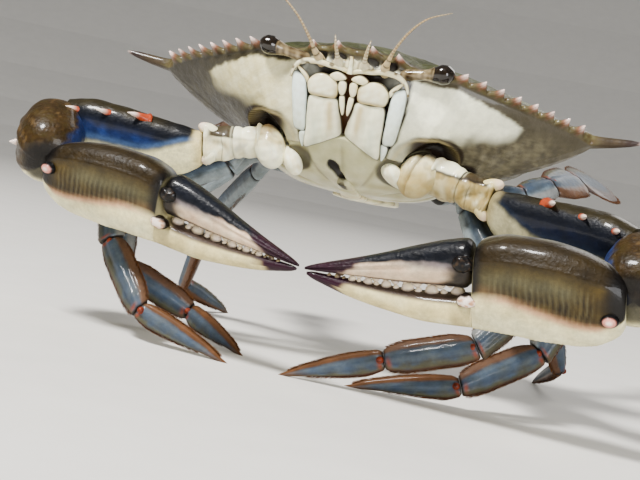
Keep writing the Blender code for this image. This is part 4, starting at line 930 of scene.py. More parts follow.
def dactyl_paint(points, distance, height, width):
    """Moving finger: black root, navy back, pink-tan side, purple tip."""
    blotch = noise3(points, 5.0, 22)
    side_tone = mix(PINK_TAN, SIDE_CREAM, 0.5 + 0.4 * blotch)
    inner = mix(LILAC, NAVY, 0.5 + 0.3 * blotch)
    paint = mix(inner, side_tone, ease(-0.35, 0.1, width))
    back = lerp(0.12, 0.52, ease(38.0, 62.0, distance))
    blue_edge = 0.6 * ease(back - 0.45, back, height) * ease(60.0, 42.0, distance)
    paint = mix(paint, BRIGHT_BLUE * 0.7 + 0.05, blue_edge)
    paint = mix(paint, NAVY, ease(back - 0.08, back + 0.16, height + 0.08 * blotch))
    # Painted shadow along the biting edge of the moving finger.
    paint = mix(paint, BITE_SHADE_PURPLE, 0.92 * ease(-0.66, -0.88, height))
    root = ease(42.0 - 2.5 * height, 37.5 - 2.5 * height, distance + blotch)
    paint = mix(paint, DEEP_BLACK, 0.93 * root)
    return mix(paint, PURPLE, ease(64.0, 68.0, distance + 1.5 * blotch + 3.0 * height))


def arm_paint(points, share, height, width, blue):
    """Arm: olive top, navy front with a blue patch under the spines, cream below and near the body.

    The share blue says how bright the patch is. The right arm's is the brighter one.
    """
    blotch = noise3(points, 6.0, 23)
    front = ease(-0.2, 0.2, width)
    top = mix(ARM_TOP, NAVY, ease(0.45, 0.1, share) * 0.85)
    patch = hump(height, -0.12, 0.24) * ease(0.22, 0.42, share)
    patch = patch * ease(1.02, 0.85, share) * (0.75 + 0.35 * blotch)
    paint = mix(NAVY, BRIGHT_BLUE, blue * np.clip(patch, 0.0, 1.0))
    lower = height - 0.75 * ease(0.50, 0.0, share)
    # Painted highlight: a pale blue band along the lower front, strong on the right arm.
    paint = mix(paint, PALE_BLUE_HIGHLIGHT, blue * 0.6 * hump(lower, -0.36, 0.12))
    # Painted shade: the cream is darkened on the left arm, whose share blue is low.
    pale = 0.40 + 0.70 * blue
    paint = mix(paint, PALM_CREAM * pale, ease(-0.36, -0.64, lower + 0.02 * blotch))
    rear = mix(ARM_REAR, PALM_CREAM, ease(0.0, -0.5, height))
    paint = mix(rear, paint, front)
    paint = mix(paint, top, ease(0.50, 0.66, height + 0.05 * blotch))
    return mix(paint, WARM_CREAM * pale, 0.85 * ease(0.10, 0.02, share + 0.015 * blotch))


def wrist_paint(points, share, height, width):
    """Wrist: mottled brown, blue towards the arm, cream on the side that faces back and down."""
    blotch = noise3(points, 5.0, 24) + 0.5 * noise3(points, 2.0, 25)
    paint = mix(PALM_OLIVE * 0.7, WRIST_BROWN, 0.5 + 0.4 * blotch)
    paint = mix(paint, WRIST_FLECK, 0.5 * ease(0.45, 0.9, blotch))
    paint = mix(paint, BRIGHT_BLUE, 0.85 * ease(-0.55, -0.85, width + 0.1 * blotch))
    paint = mix(paint, PALM_CREAM, 0.85 * ease(0.55, 0.80, height + 0.06 * blotch))
    return mix(paint, DEEP_BLACK, 0.85 * ease(0.80, 0.95, share))


def base_paint(points, share, height, width, yellow):
    """Claw base: white bulb and stem, with a dark brown top edge and dark creases.

    The share yellow says how yellow and mottled the stem is. The left claw's is the yellower one.
    """
    blotch = noise3(points, 5.0, 26)
    stem = ease(0.42, 0.48, share)
    paint = mix(CREAM, WARM_CREAM, 0.16 + 0.2 * blotch + stem * (0.45 + 0.3 * blotch) * yellow)
    paint = mix(paint, MOTTLE_BROWN * 2.2, 0.55 * ease(0.15, 0.95, height) * ease(0.30, 0.02, share))
    bluish = 0.45 * (1 - stem) * hump(height, -0.45, 0.3) * ease(-0.2, 0.4, blotch)
    paint = mix(paint, BULB_SHADE, bluish)
    spots = ease(0.1, 0.55, noise3(points, 2.6, 36)) * hump(share, 0.66, 0.16)
    paint = mix(paint, MOTTLE_BROWN * 1.4, 0.55 * stem * yellow * spots)
    edge_height = lerp(0.20, 0.52, ease(0.0, 0.85, share)) + 0.05 * blotch - 0.3 * (1 - yellow)
    above = ease(edge_height, edge_height + 0.10, height) * ease(-0.75, -0.35, width)
    below = yellow * (1 - above)
    paint = mix(paint, STEM_YELLOW, 0.92 * below * np.clip(0.9 + 0.2 * blotch, 0.0, 1.0))
    paint = mix(paint, STEM_STAIN, 0.55 * below * ease(0.1, 0.8, noise3(points, 3.4, 41)))
    paint = mix(paint, SOCKET_SHADE, 0.7 * (1 - yellow) * ease(0.12, -0.04, share))
    paint = mix(paint, MOTTLE_BROWN * 0.6, 0.93 * above * stem * ease(0.93, 0.82, share))
    line = hump(height - edge_height, 0.08, 0.11) * ease(-0.2, 0.2, width) * ease(-0.05, 0.08, share)
    paint = mix(paint, MOTTLE_BROWN * 0.5, 0.9 * yellow * line * ease(0.93, 0.82, share))
    crease = hump(share, 0.425, 0.018) * np.maximum(above, 0.22)
    paint = mix(paint, SEAM_AND_SHADE_BROWN, 0.95 * crease + 0.55 * hump(share, 0.62, 0.008) * ease(0.4, -0.1, height))
    return mix(paint, SEAM_AND_SHADE_BROWN, 0.9 * ease(0.975, 0.995, share))


print("claw colours named, the palm's ridge ends at", round(float(palm_ridge(34.0)), 2), "of its half height")


# %% Tubes between joint planes
def slide(points, along, plane_point, normal):
    """Moves points along a direction until they meet a plane."""
    return points + ((plane_point - points) @ normal / np.dot(along, normal))[..., None] * along


def limb_tube(start, end, facing, side, table, share, turn, profile, before=None, after=None):
    """Tube from start to end by a table of share, half height, half width and rise.

    Where a joint plane is given, the ring at that end is slid on to it along the tube, and the
    rings between take their part of the slide. Returns points and the unit height and width.
    """
    along, up, face = axes(start, end, facing, side)
    half_high, half_wide, rise = (column[:, None, None] for column in table_at(table, share))
    height, width = profile(turn)
    points = start + (end - start) * share[:, None, None]
    points = points + up * (rise + half_high * height[..., None]) + face * half_wide * width[..., None]
    if before is not None or after is not None:
        at = ((share - share[0]) / (share[-1] - share[0]))[:, None, None]
        low = slide(points, along, *(before or (start, along)))
        high = slide(points, along, *(after or (end, along)))
        points = lerp(low, high, at)
    return points, height + 0 * points[..., 0], width + 0 * points[..., 0]


def joint_plane(first, second, point, back):
    """The plane that halves a bend between two directions, moved back by a share of the gap."""
    normal = unit(first + second)
    return point + normal * back, normal


def over_grid(column, height, width):
    """Share or distance, height and width, each repeated over the whole grid of a tube."""
    return np.broadcast_arrays(column[:, None], height, width)


def pole_to_pole(ball):
    """Place of each row of a ball between its poles, from -1 to 1."""
    return np.linspace(-1.0, 1.0, len(ball))[:, None] + 0 * ball[..., 0]


JOINT_GAP = 0.3
CLAW_FACING = np.array([0.0, -1.0, -0.25])
print("gap at a joint:", JOINT_GAP, "mm")

# %% Claw bases
# What differs between the left claw, 1, and the right one, -1: how yellow the stem is, how deep
# the bulb is cut, and the radii and groove of the collar at the socket.
STEM_YELLOWNESS, BULB_CUT = {1: 1.0, -1: 0.25}, {1: 0.20, -1: 0.36}
COLLAR_RADII, COLLAR_GROOVE = {1: (5.6, 4.2, 6.6), -1: (4.2, 4.0, 6.2)}, {1: 1.0, -1: 0.2}
COLLAR_SHIFT = np.array([-1.2, -1.2, -1.7])
# Spurs at the elbow: rise, way out of the face, lean and half length.
BASE_SPURS = ((3.5, 1.9, 0.50, 3.3), (-3.7, 1.6, -0.75, 2.9))
SPUR_PLACE, SPUR_HALF_WIDTHS, SPUR_TIP = 0.895, (1.7, 1.9), np.array([0.86, 0.70, 0.58])


def base_folds(share, turn, side):
    """Swelling of the claw base: creases at its joints, ridges on the stem and a cut in the bulb."""
    crease = hump(share, 0.425, 0.012) + 0.6 * hump(share, 0.93, 0.014)
    waves = 0.10 * np.cos(3 * (turn - 0.9)) + 0.06 * np.cos(5 * turn + 9.0 * share)
    fold = ease(0.45, 0.6, share) * waves
    crest = np.exp(6.0 * (np.cos(turn - 0.45) - 1)) * 0.16 + np.exp(5.0 * (np.cos(turn - 2.55) - 1)) * 0.22
    flat_face = -0.18 * np.exp(2.5 * (np.cos(turn - 1.5) - 1)) * ease(0.5, 0.75, share)
    swell = ((share - 0.5) / 0.43).clip(0.0, 1.1) ** 1.5 * ease(1.0, 0.945, share)
    fold = fold + crest * swell + flat_face
    lobe = ease(-0.1, 0.1, share) * ease(0.42, 0.3, share)
    dent = 0.16 * np.exp(3.0 * (np.cos(turn - 1.1) - 1))
    lobe = lobe * (0.07 * np.cos(2 * (turn - 0.6)) - dent - BULB_CUT[side])
    return 1.0 - 0.12 * crease + fold + lobe


def claw_collar(side, hip):
    """Oval collar where the claw leaves its socket: a ball with a groove, shaded to the socket."""
    outward = unit(mirrored(CLAW_SOCKET_WAY, side))
    across = unit(np.cross(outward, [0.0, 0.0, 1.0]))
    other = np.cross(outward, across)
    inward = mirrored(COLLAR_SHIFT, side)
    collar = ellipsoid(hip + inward, (outward, across, other), COLLAR_RADII[side], 48, 96)
    from_middle = collar - hip - inward
    groove = hump(from_middle @ outward - 0.12 * (from_middle @ other), -0.4, 0.55) * COLLAR_GROOVE[side]
    collar = collar - (0.28 * groove * (from_middle @ across))[..., None] * across
    collar = collar + 0.25 * noise3(collar, 6.0, 27)[..., None] * across
    tone = mix(CREAM, WARM_CREAM, 0.70 + 0.3 * noise3(collar, 4.0, 27))
    tone = mix(tone, MOTTLE_BROWN, 0.6 * groove + 0.25 * ease(0.2, 0.7, noise3(collar, 3.5, 37)))
    tone = mix(tone, SEAM_AND_SHADE_BROWN, 0.9 * ease(1.2, 3.4, (collar - hip)[..., 2]))
    if side > 0:
        tone = mix(tone, STEM_YELLOW, 0.75 * ease(3.0, -3.0, from_middle[..., 2]))
    else:
        shade = ease(-1.5, 3.5, from_middle[..., 2]) * ease(-3.5, 1.0, from_middle @ outward)
        tone = mix(tone, MOTTLE_BROWN * 2.4, 0.55 * shade)
        tone = mix(tone, CREAM, 0.8 * ease(1.0, -3.0, from_middle[..., 2]))
    return shell(collar, tone, 0.2)


def base_spur(side, hip, elbow, rise, out, lean, length):
    """Blunt spur at the end of the claw base: a ball stretched along its own way."""
    along, up, face = axes(hip, elbow, CLAW_FACING, side)
    way = unit(along + up * lean)
    middle = hip + (elbow - hip) * SPUR_PLACE + up * rise + face * out
    spur = ellipsoid(middle, (way, np.cross(way, face), face), (length, *SPUR_HALF_WIDTHS), 24, 32)
    root = mix(WARM_CREAM, CREAM, 0.65 - 0.65 * (side > 0))
    return shell(spur, mix(root, SPUR_TIP, 0.7 * ease(0.0, 2.6, (spur - middle) @ way)), 0.1)


def build_claw_base(name, side, hip, elbow, end_plane):
    """Claw base: a bulb and a stem, folded about the line from hip to elbow, collar and spurs."""
    turn = round_turns(144)
    share = np.concatenate([np.linspace(-0.24, 0.5, 70), np.linspace(0.51, 1.0, 56)])
    points, height, width = limb_tube(hip, elbow, CLAW_FACING, side, BASE_TABLE, share, turn, oval,
                                      None, end_plane)
    middle = hip + (elbow - hip) * share[:, None, None]
    points = middle + (points - middle) * base_folds(share[:, None], turn, side)[..., None]
    paint = base_paint(points, *over_grid(share, height, width), STEM_YELLOWNESS[side])
    shells = [shell(points, paint, 0.1), claw_collar(side, hip)]
    shells += [base_spur(side, hip, elbow, *spur) for spur in BASE_SPURS]
    dress(f"claw_base_{name}", shells, BELLY_FINISH)


print("spurs on a claw base:", len(BASE_SPURS))

# %% Claw arms and wrists
ARM_CREST = math.radians(55.0)
# The share of each arm also sets its painted highlight and, on the left arm, painted shade on the cream.
ARM_BLUE_AND_LIGHT = {1: 0.12, -1: 1.0}
# Spines of the arm: share along it and length.
ARM_SPINES = ((0.40, 4.6), (0.63, 4.9), (0.86, 4.7))
WRIST_SPINE_ROOT = np.array([0.30, 0.10, 0.05])


def arm_profile(turn):
    """Rounded triangle of the arm, with its crest at the upper front."""
    return three_sided(turn, 0.1, ARM_CREST)


def build_claw_arm(name, side, elbow, knee, start_plane):
    """Arm: a three-sided tube with a row of spines along its front edge."""
    turn = round_turns(144)
    share = np.linspace(0.0, 1.05, 110)
    points, height, width = limb_tube(elbow, knee, CLAW_FACING, side, ARM_TABLE, share, turn,
                                      arm_profile, start_plane)
    along, up, face = axes(elbow, knee, CLAW_FACING, side)
    points = points + 0.10 * noise3(points, 6.0, 31)[..., None] * up
    paint = arm_paint(points, *over_grid(share, height, width), ARM_BLUE_AND_LIGHT[side])
    shells = [shell(points, paint, 0.25)]
    for spine_share, length in ARM_SPINES:
        foot = elbow + (knee - elbow) * spine_share + up * 4.4 + face * 5.0 - face * 1.2
        tip = foot + face * (length + 0.4) + up * 1.4 + along * 4.4
        shells.append(thorn(foot, tip, 1.45, up * 0.3, SPINE_ORANGE, 0.62))
    dress(f"claw_arm_{name}", shells, ARM_FINISH)


def build_wrist(name, side, knee, wrist):
    """Wrist: a rounded block, 1 less reach to the 2.7, to the 0.42, with two spines."""
    turn = round_turns(144)
    outward = np.array([side * WRIST_OUT, 0.0, WRIST_UP])
    block_start, block_end = (knee + wrist) / 2 + outward, wrist + outward
    along, up, face = axes(block_start, block_end, np.array([side * 1.0, 0.0, 0.3]), side)
    share = np.sin(np.linspace(-0.5, 0.5, 74) * math.pi)
    size = (1.0 - abs(share) ** 2.7 * 0.98) ** 0.42
    height, width = oval(turn, 0.86)
    front = width > 0
    relief = 1.0 + 0.05 * hump(height, 0.45, 0.14) * front + 0.05 * hump(height, -0.30, 0.10) * front
    ring = up * (height * WRIST_HALVES[1])[..., None] + face * (width * relief * WRIST_HALVES[2])[..., None]
    points = block_start + (along * share[:, None, None] * WRIST_HALVES[0] + ring * size[:, None, None])
    points = points + 0.25 * noise3(points, 8.0, 32)[..., None] * face
    shells = [shell(points, wrist_paint(points, *over_grid(share, height, width)), 0.6)]
    front_foot = block_start + up * 2.0 + face * WRIST_HALVES[2] * 0.8
    upper_foot = block_start + up * 8.6 + face * 3.0 - along * 3.0
    front_tip, upper_tip = front_foot + face * 4.0 + along * 1.4, upper_foot + up * 3.2 + face * 1.2
    for foot, tip in ((front_foot, front_tip), (upper_foot, upper_tip)):
        shells.append(thorn(foot, tip, 1.7, up * 0.2, WRIST_SPINE_ROOT))
    dress(f"claw_wrist_{name}", shells, CLAW_FINISH)


print("spines on an arm:", len(ARM_SPINES))

# %% Palms and fingers
# Teeth along a finger: distance along the claw, half length and rise.
FIXED_TEETH = (
    (38.8, 2.1, 1.9), (42.6, 1.1, 0.9), (45.6, 2.0, 2.0), (49.0, 1.1, 0.9), (51.8, 1.8, 1.9),
    (54.8, 0.9, 0.8), (57.2, 1.5, 1.6), (59.8, 0.8, 0.7), (61.9, 1.3, 1.4), (64.2, 0.7, 0.6),
    (66.0, 1.1, 1.1), (68.1, 0.6, 0.5), (69.8, 0.9, 0.9), (72.0, 0.6, 0.5))
DACTYL_TEETH = (
    (40.9, 1.0, 0.7), (43.4, 1.5, 1.2), (46.6, 0.9, 0.6), (49.4, 1.5, 1.3), (52.4, 0.9, 0.6),
    (54.9, 1.3, 1.1), (57.6, 0.8, 0.5), (59.8, 1.2, 1.0), (62.4, 0.7, 0.5), (64.4, 1.0, 0.8),
    (66.6, 0.6, 0.4), (68.6, 0.8, 0.6))
PURPLE_TEETH_FROM, TOOTH_ROOT = 67.0, 0.35
PALM_DISTANCES = np.concatenate([np.linspace(-3.0, 31.0, 80), np.linspace(31.4, 33.3, 8),
                                 np.linspace(33.5, 36.0, 22), np.linspace(36.5, 77.8, 76)])
DACTYL_DISTANCES = np.concatenate([np.linspace(34.9, 37.0, 14), np.linspace(37.4, 78.3, 84)])
CONDYLE_HEIGHT = {1: -4.0, -1: 0.2}


def bite_row(claw, side, table, teeth, sign):
    """Rounded teeth along a biting edge: balls stretched along, up and across the finger."""
    along, up, out = claw_frame(claw, side)
    made = []
    for distance, half_length, rise in teeth:
        low, high, _, shift = (column[0] for column in table_at(table, distance))
        edge = high if sign > 0 else low
        centre = claw_point(claw, side, distance, edge - sign * TOOTH_ROOT, -shift)
        radii = (rise + TOOTH_ROOT, half_length * 0.92, 0.55 * half_length + TOOTH_ROOT)
        ball = ellipsoid(centre, (up, along, out), radii)
        reach = (ball - centre) @ up * sign / (rise + TOOTH_ROOT)
        tone = PURPLE if distance > PURPLE_TEETH_FROM else TOOTH_WHITE
        ball = ball + 0.22 * noise3(ball, 2.2, 35)[..., None] * along
        tooth_tone = mix(tone, WARM_CREAM, 0.3 + 0.3 * noise3(ball, 2.0, 38))
        # Painted shade at the root of each tooth, in the gaps between the teeth.
        made.append(shell(ball, mix(BITE_SHADE_PURPLE, tooth_tone, ease(0.0, 0.4, reach)), 0.0))
    return made


def palm_relief(distance, height, width):
    """Long ridges and upright streaks on the palm's outer face, in millimetres."""
    on_palm = (ease(-1.0, 4.0, distance) * ease(34.5, 31.0, distance)) * (width > -0.1)
    ridges = 0.45 * hump(height, palm_ridge(distance), 0.08) + 0.55 * hump(height, 0.60, 0.07)
    ridges = ridges + 0.25 * hump(height, 0.12, 0.05) - 0.35 * hump(height, 0.36, 0.14)
    streaks = on_palm * 0.05 * np.sin(distance * math.tau / 1.25) * ease(0.55, 0.15, height)
    return on_palm * ridges - streaks


def claw_knob(claw, side, place, radii, relief=0.0, size=1.0, seed=0):
    """Knob at a place of the claw: a ball stretched out of its face, along it and up it."""
    along, up, out = claw_frame(claw, side)
    knob = ellipsoid(claw_point(claw, side, *place), (out, along, up), radii, 20, 32)
    return knob + relief * noise3(knob, size, seed)[..., None] * up


def hinge_knob(claw, side):
    """White knob below the hinge of the moving finger, brown where it meets the palm."""
    knob = claw_knob(claw, side, (35.6, -4.0, 0.9), (2.0, 2.8, 1.7), 0.22, 2.6, 39)
    tone = mix(SPINE_WHITE, RIDGE_ORANGE, ease(0.1, 0.6, noise3(knob, 2.2, 33)))
    return shell(knob, mix(SEAM_AND_SHADE_BROWN, tone, ease(0.30, 0.50, pole_to_pole(knob))), 0.0)


def wrist_condyle(claw, side):
    """Pink knob with a pale middle and a dark ring, where the palm turns on the wrist."""
    knob = claw_knob(claw, side, (0.2, CONDYLE_HEIGHT[side], 4.9), (2.1, 2.2, 1.6))
    paint = mix(DEEP_BLACK, KNOB_PINK, ease(0.40, 0.58, pole_to_pole(knob)))
    return shell(knob, mix(paint, SPINE_WHITE, 0.8 * ease(0.70, 0.90, pole_to_pole(knob))), 0.0)


def finger_knob(claw, side):
    """Dark knob at the hinge of the moving finger, with brown flecks."""
    knob = claw_knob(claw, side, (37.0, 5.0, 0.7), (2.2, 2.7, 2.2), 0.3, 2.8, 40)
    return shell(knob, mix(DEEP_BLACK, HINGE_BROWN, ease(0.0, 0.8, noise3(knob, 1.8, 34))), 0.3)


def build_palm(name, side, claw):
    """Palm running on into the fixed finger, with its teeth and the knobs at its two hinges."""
    turn, distance = round_turns(96), PALM_DISTANCES
    boxy = lerp(0.8, 0.56, ease(20.0, 34.3, distance))
    power = np.where(distance < 34.4, boxy, lerp(0.8, 1.0, ease(40.0, 60.0, distance)))[:, None]
    height, width = oval(turn, power)
    relief = palm_relief(distance[:, None], height, width)
    points = claw_tube(claw, side, PALM_TABLE, distance, turn, power, relief)
    paint = palm_paint(points, *over_grid(distance, height, width))
    on_palm = ease(35.0, 33.0, distance[:, None]) * (width > -0.4)
    beads = 0.15 + 0.25 * ease(0.20, 0.60, height) * on_palm
    shells = [shell(points, paint, beads)] + bite_row(claw, side, PALM_TABLE, FIXED_TEETH, 1)
    shells += [hinge_knob(claw, side), wrist_condyle(claw, side)]
    dress(f"claw_palm_{name}", shells, CLAW_FINISH)


def build_finger(name, side, claw):
    """Moving finger with a groove on its face, its teeth and the dark knob of its hinge."""
    turn, distance = round_turns(96), DACTYL_DISTANCES
    height, width = oval(turn, 0.86)
    relief = 0.22 * (hump(height, 0.30, 0.10) - hump(height, 0.02, 0.14)) * (width > 0)
    relief = relief * ease(38.0, 44.0, distance)[:, None]
    points = claw_tube(claw, side, DACTYL_TABLE, distance, turn, 0.86, relief)
    distances, heights, widths = over_grid(distance, height, width)
    paint = dactyl_paint(points, distances, heights, widths)
    shells = [shell(points, paint, 0.1 + 0.5 * ease(0.1, 0.5, heights))]
    shells += bite_row(claw, side, DACTYL_TABLE, DACTYL_TEETH, -1) + [finger_knob(claw, side)]
    dress(f"claw_finger_{name}", shells, CLAW_FINISH)


print("teeth on a claw:", len(FIXED_TEETH) + len(DACTYL_TEETH))

# %% Build the claws
for side, name, claw in ((1, "left", LEFT_CLAW), (-1, "right", RIGHT_CLAW)):
    hip, (elbow, knee, wrist) = mirrored(CLAW_HIP, side), claw[:3]
    first, second = unit(elbow - hip), unit(knee - elbow)
    end_plane = joint_plane(first, second, elbow, -JOINT_GAP / 2)
    start_plane = joint_plane(first, second, elbow, JOINT_GAP / 2)
    build_claw_base(name, side, hip, elbow, end_plane)
    build_claw_arm(name, side, elbow, knee, start_plane)
    build_wrist(name, side, knee, wrist)
    build_palm(name, side, claw)
    build_finger(name, side, claw)
print("claw pieces:", {k: v for k, v in pieces.items() if k.startswith("claw")})

# %% [markdown]
# Jaws
#
# A crab's mouth is shut by a pair of doors, the third jaw feet. Each is a long lower plate, a
# shorter upper plate, a narrow outer branch beside them and a small palp of three joints that
# folds down between the doors. Each plate is a flat outline on the mouth's own plane. Rings
# shrink from that outline to its middle over a low dome, and its edge rolls back, so that real
# dark gaps part the plates.

# %% Plates on the mouth
def smooth_outline(corners, count):
    """Closed smooth curve through the corners: each span is the cubic of its four nearest corners."""
    corners = np.asarray(corners, float)
    at = np.arange(count) / count * len(corners)
    row, s = np.floor(at).astype(int), (at % 1.0)[:, None]
    p0, p1, p2, p3 = (corners[(row + i) % len(corners)] for i in (-1, 0, 1, 2))
    curve, twist = 2 * p0 - 5 * p1 + 4 * p2 - p3, 3 * p1 - p0 - 3 * p2 + p3
    return 0.5 * (2 * p1 + (p2 - p0) * s + curve * s**2 + twist * s**3)


def door(corners, dome, lift, depth, rows=22, count=88):
    """Domed plate: height is the dome times 1 less share to the 4, and the edge rolls back."""
    outline = smooth_outline(corners, count)
    middle = outline.mean(0)
    share = np.concatenate([np.linspace(0.05, 1.0, rows), [1.015, 1.01, 0.96, 0.90]])[:, None]
    flat = middle + (outline - middle) * share[..., None]
    out = lift + dome * (1.0 - np.minimum(share, 1.0) ** 4.0) ** 0.85 + 0 * flat[..., 0]
    out[rows:] -= np.array([0.25, 0.6, 0.6 * depth, depth])[:, None]
    return flat, out, np.minimum(share, 1.0) + 0 * out


def door_shell(side, plate, paint_door, relief=None):
    """Places a plate on the mouth and paints it by its own across and down."""
    flat, out, share = plate
    if relief is not None:
        out = out + relief(flat[..., 0], flat[..., 1]) * ease(1.0, 0.9, share)
    points = mouth_point(side * flat[..., 0], flat[..., 1], out)
    paint = paint_door(flat[..., 0], flat[..., 1], share, points)
    return shell(points, paint, 0.05)


# Every plate also turns seam brown at its rolled edge: painted shade in the gaps between the plates.
JAW_WHITE, JAW_TAN, PALP_YELLOW = np.array([(0.92, 0.91, 0.72), (0.46, 0.34, 0.14), (0.84, 0.72, 0.42)])
JAW_SHADE, BRANCH_WHITE = np.array([(0.42, 0.50, 0.40), (0.84, 0.92, 0.86)])
# Corners of each left plate, across the mouth from the midline and down it from its top.
LOWER_DOOR = ((2.7, 6.4), (6.4, 6.6), (10.1, 6.6), (10.5, 11.0), (10.3, 15.5), (10.3, 20.4), (7.4, 19.6),
              (3.6, 17.6), (0.6, 15.6), (0.8, 12.4), (1.7, 9.4))
UPPER_DOOR = ((2.9, 2.3), (4.5, 1.0), (7.0, 0.2), (9.3, 0.8), (11.0, 2.8), (10.8, 5.0), (9.8, 6.3),
              (6.4, 6.35), (3.2, 6.2), (2.6, 4.2))
OUTER_BRANCH = ((12.0, 2.4), (13.7, 1.2), (15.4, 1.3), (15.5, 5.0), (14.9, 10.0), (13.9, 15.6), (12.3, 16.6),
                (10.6, 16.1), (10.8, 11.0), (11.2, 6.0))
BRANCH_FOOT = ((10.4, 16.5), (12.1, 17.0), (12.0, 19.0), (10.9, 21.0), (10.3, 18.6))
PALP_JOINTS = (((5.3, 0.5), (4.4, -0.5), (2.9, -0.9), (1.3, -0.3), (0.6, 0.6), (1.9, 1.2), (3.8, 1.5)),
               ((0.5, 1.6), (1.6, 1.1), (2.5, 1.6), (2.6, 3.2), (2.0, 4.9), (1.0, 5.0), (0.4, 3.4)),
               ((0.6, 5.3), (1.4, 5.1), (2.0, 5.6), (1.7, 7.8), (0.9, 10.2), (0.35, 9.9), (0.3, 7.6)))


def lower_paint(across, down, share, points):
    """White plate with a tan streak down its inner half and pale brown inner edge."""
    paint = mix(JAW_WHITE, GREEN_CREAM, 0.25 + 0.15 * noise3(points, 4.0, 41))
    streak = hump(across, 4.4 - 0.10 * (down - 6.0), 1.0) * ease(6.0, 8.0, down) * ease(18.0, 12.0, down)
    paint = mix(paint, JAW_TAN, 0.65 * streak)
    paint = mix(paint, JAW_SHADE, 0.35 * hump(across, 7.6, 1.6) * ease(9.0, 14.0, down))
    inner_edge = ease(3.4, 1.2, across + 0.12 * (down - 6.0))
    paint = mix(paint, MOTTLE_BROWN * 1.5, 0.7 * inner_edge * ease(18.0, 12.0, down))
    return mix(paint, SEAM_AND_SHADE_BROWN, 0.8 * ease(0.96, 1.0, share))


def upper_paint(across, down, share, points):
    """White plate, brightest in the middle."""
    paint = mix(JAW_WHITE, WARM_CREAM, 0.25 + 0.2 * noise3(points, 3.0, 42) + 0.3 * ease(0.6, 1.0, share))
    paint = mix(paint, JAW_TAN, 0.5 * ease(5.0, 6.0, down) + 0.35 * ease(4.4, 2.9, across))
    return mix(paint, SEAM_AND_SHADE_BROWN, 0.8 * ease(0.95, 1.0, share))


def branch_paint(across, down, share, points):
    """Blue-white outer branch."""
    paint = mix(BRANCH_WHITE, GREEN_CREAM, 0.3 * ease(4.0, 15.0, down) + 0.1 * noise3(points, 3.0, 43))
    return mix(paint, SEAM_AND_SHADE_BROWN, 0.8 * ease(0.93, 1.0, share))


def palp_paint(across, down, share, points):
    """Yellowish joints of the palp."""
    paint = mix(JAW_WHITE, PALP_YELLOW, 0.5 + 0.3 * noise3(points, 2.0, 44))
    return mix(paint, SEAM_AND_SHADE_BROWN, 0.85 * ease(0.88, 1.0, share))


def lower_relief(across, down):
    """Groove and ridge down the lower plate: two bell curves whose middles drift inward."""
    groove = -0.35 * hump(across, 6.6 - 0.05 * down, 0.7) * ease(6.5, 9.0, down)
    return groove + 0.25 * hump(across, 4.6 - 0.1 * (down - 6), 0.8)


# %% Build the jaws
for side, name in ((1, "left"), (-1, "right")):
    jaw = [door_shell(side, door(LOWER_DOOR, 1.0, -0.3, 2.4), lower_paint, lower_relief),
           door_shell(side, door(UPPER_DOOR, 1.0, -0.2, 2.4), upper_paint),
           door_shell(side, door(OUTER_BRANCH, 0.8, -1.0, 2.0), branch_paint),
           door_shell(side, door(BRANCH_FOOT, 0.5, -1.2, 1.6, 12, 48), branch_paint)]
    jaw += [door_shell(side, door(joint, 0.6, 0.0, 1.2, 12, 48), palp_paint) for joint in PALP_JOINTS]
    dress(f"jaw_{name}", jaw, BELLY_FINISH)
print("jaw triangles:", pieces["jaw_left_skin"])

# %% [markdown]
# Brow, feelers and eyes
#
# Between the nose teeth and the mouth sits the brow, an arched cream band with a keel in its
# middle. From the pits beside the keel come the small feelers, each a bulb, two thin joints and a
# forked whip, and outside them the long feelers with three stout joints and a ringed whip. The
# eyes lie in the slots of the front margin on short stalks. The feelers and the mouth's rim are
# tubes along smooth curved paths, with a small bead for each ring of a real whip.

# %% Tubes along a path
def tube_along(knots, radii, spacing, cols, beads=0.0, bead_length=0.7):
    """Tube along a smooth path through knots: rings stand square to it, and beads swell by a sine."""
    knots = np.asarray(knots, float)
    table = np.column_stack([np.arange(len(knots)), knots, radii])
    length = np.linalg.norm(np.diff(knots, axis=0), axis=1).sum()
    at = np.linspace(0, len(knots) - 1, max(8, int(length / spacing)))
    x, y, z, radius = table_at(table, at)
    path = np.stack([x, y, z], -1)
    along = unit(np.gradient(path, axis=0))
    across = unit(np.cross(along, [0.31, 0.12, 0.94]))
    other = np.cross(along, across)
    run = np.concatenate([[0.0], np.cumsum(np.linalg.norm(np.diff(path, axis=0), axis=1))])
    radius = radius * (1.0 + beads * np.cos(run * math.tau / bead_length))
    turn = round_turns(cols)[..., None]
    ring = np.cos(turn) * across[:, None] + np.sin(turn) * other[:, None]
    return path[:, None] + radius[:, None, None] * ring, run


FEELER_TAN, FEELER_BROWN = np.array([(0.52, 0.43, 0.27), (0.20, 0.13, 0.07)])
CORNEA_BLACK, CORNEA_BROWN = np.array([(0.012, 0.008, 0.006), (0.05, 0.035, 0.02)])
# Paths of the feelers in the crab's frame, and of the mouth's rim across and down its plane.
LONG_FEELER = ((8.6, -28.8, -0.2), (8.8, -31.2, 0.0), (9.6, -33.6, 0.7), (11.0, -36.4, 2.8),
               (14.5, -40.5, 7.0), (19.5, -44.0, 10.5), (25.5, -46.0, 12.2))
LONG_RADII = (1.2, 1.25, 0.85, 0.42, 0.30, 0.2, 0.07)
SMALL_FEELER = ((3.4, -30.0, -0.4), (3.5, -31.2, -0.2), (3.7, -33.4, 0.6), (4.2, -35.4, 2.6),
                (4.8, -36.6, 5.2))
SMALL_RADII = (1.3, 1.35, 0.62, 0.42, 0.10)
FORK = ((3.8, -33.8, 1.0), (4.0, -35.0, 1.4), (4.2, -36.2, 2.4), (4.5, -37.0, 3.8))
MOUTH_RIM = ((16.0, 2.6), (15.4, 0.3), (13.9, -1.5), (11.5, -2.4), (8.5, -2.6), (5.5, -2.1), (3.0, -1.9),
             (1.2, -1.5), (0.0, -1.2))
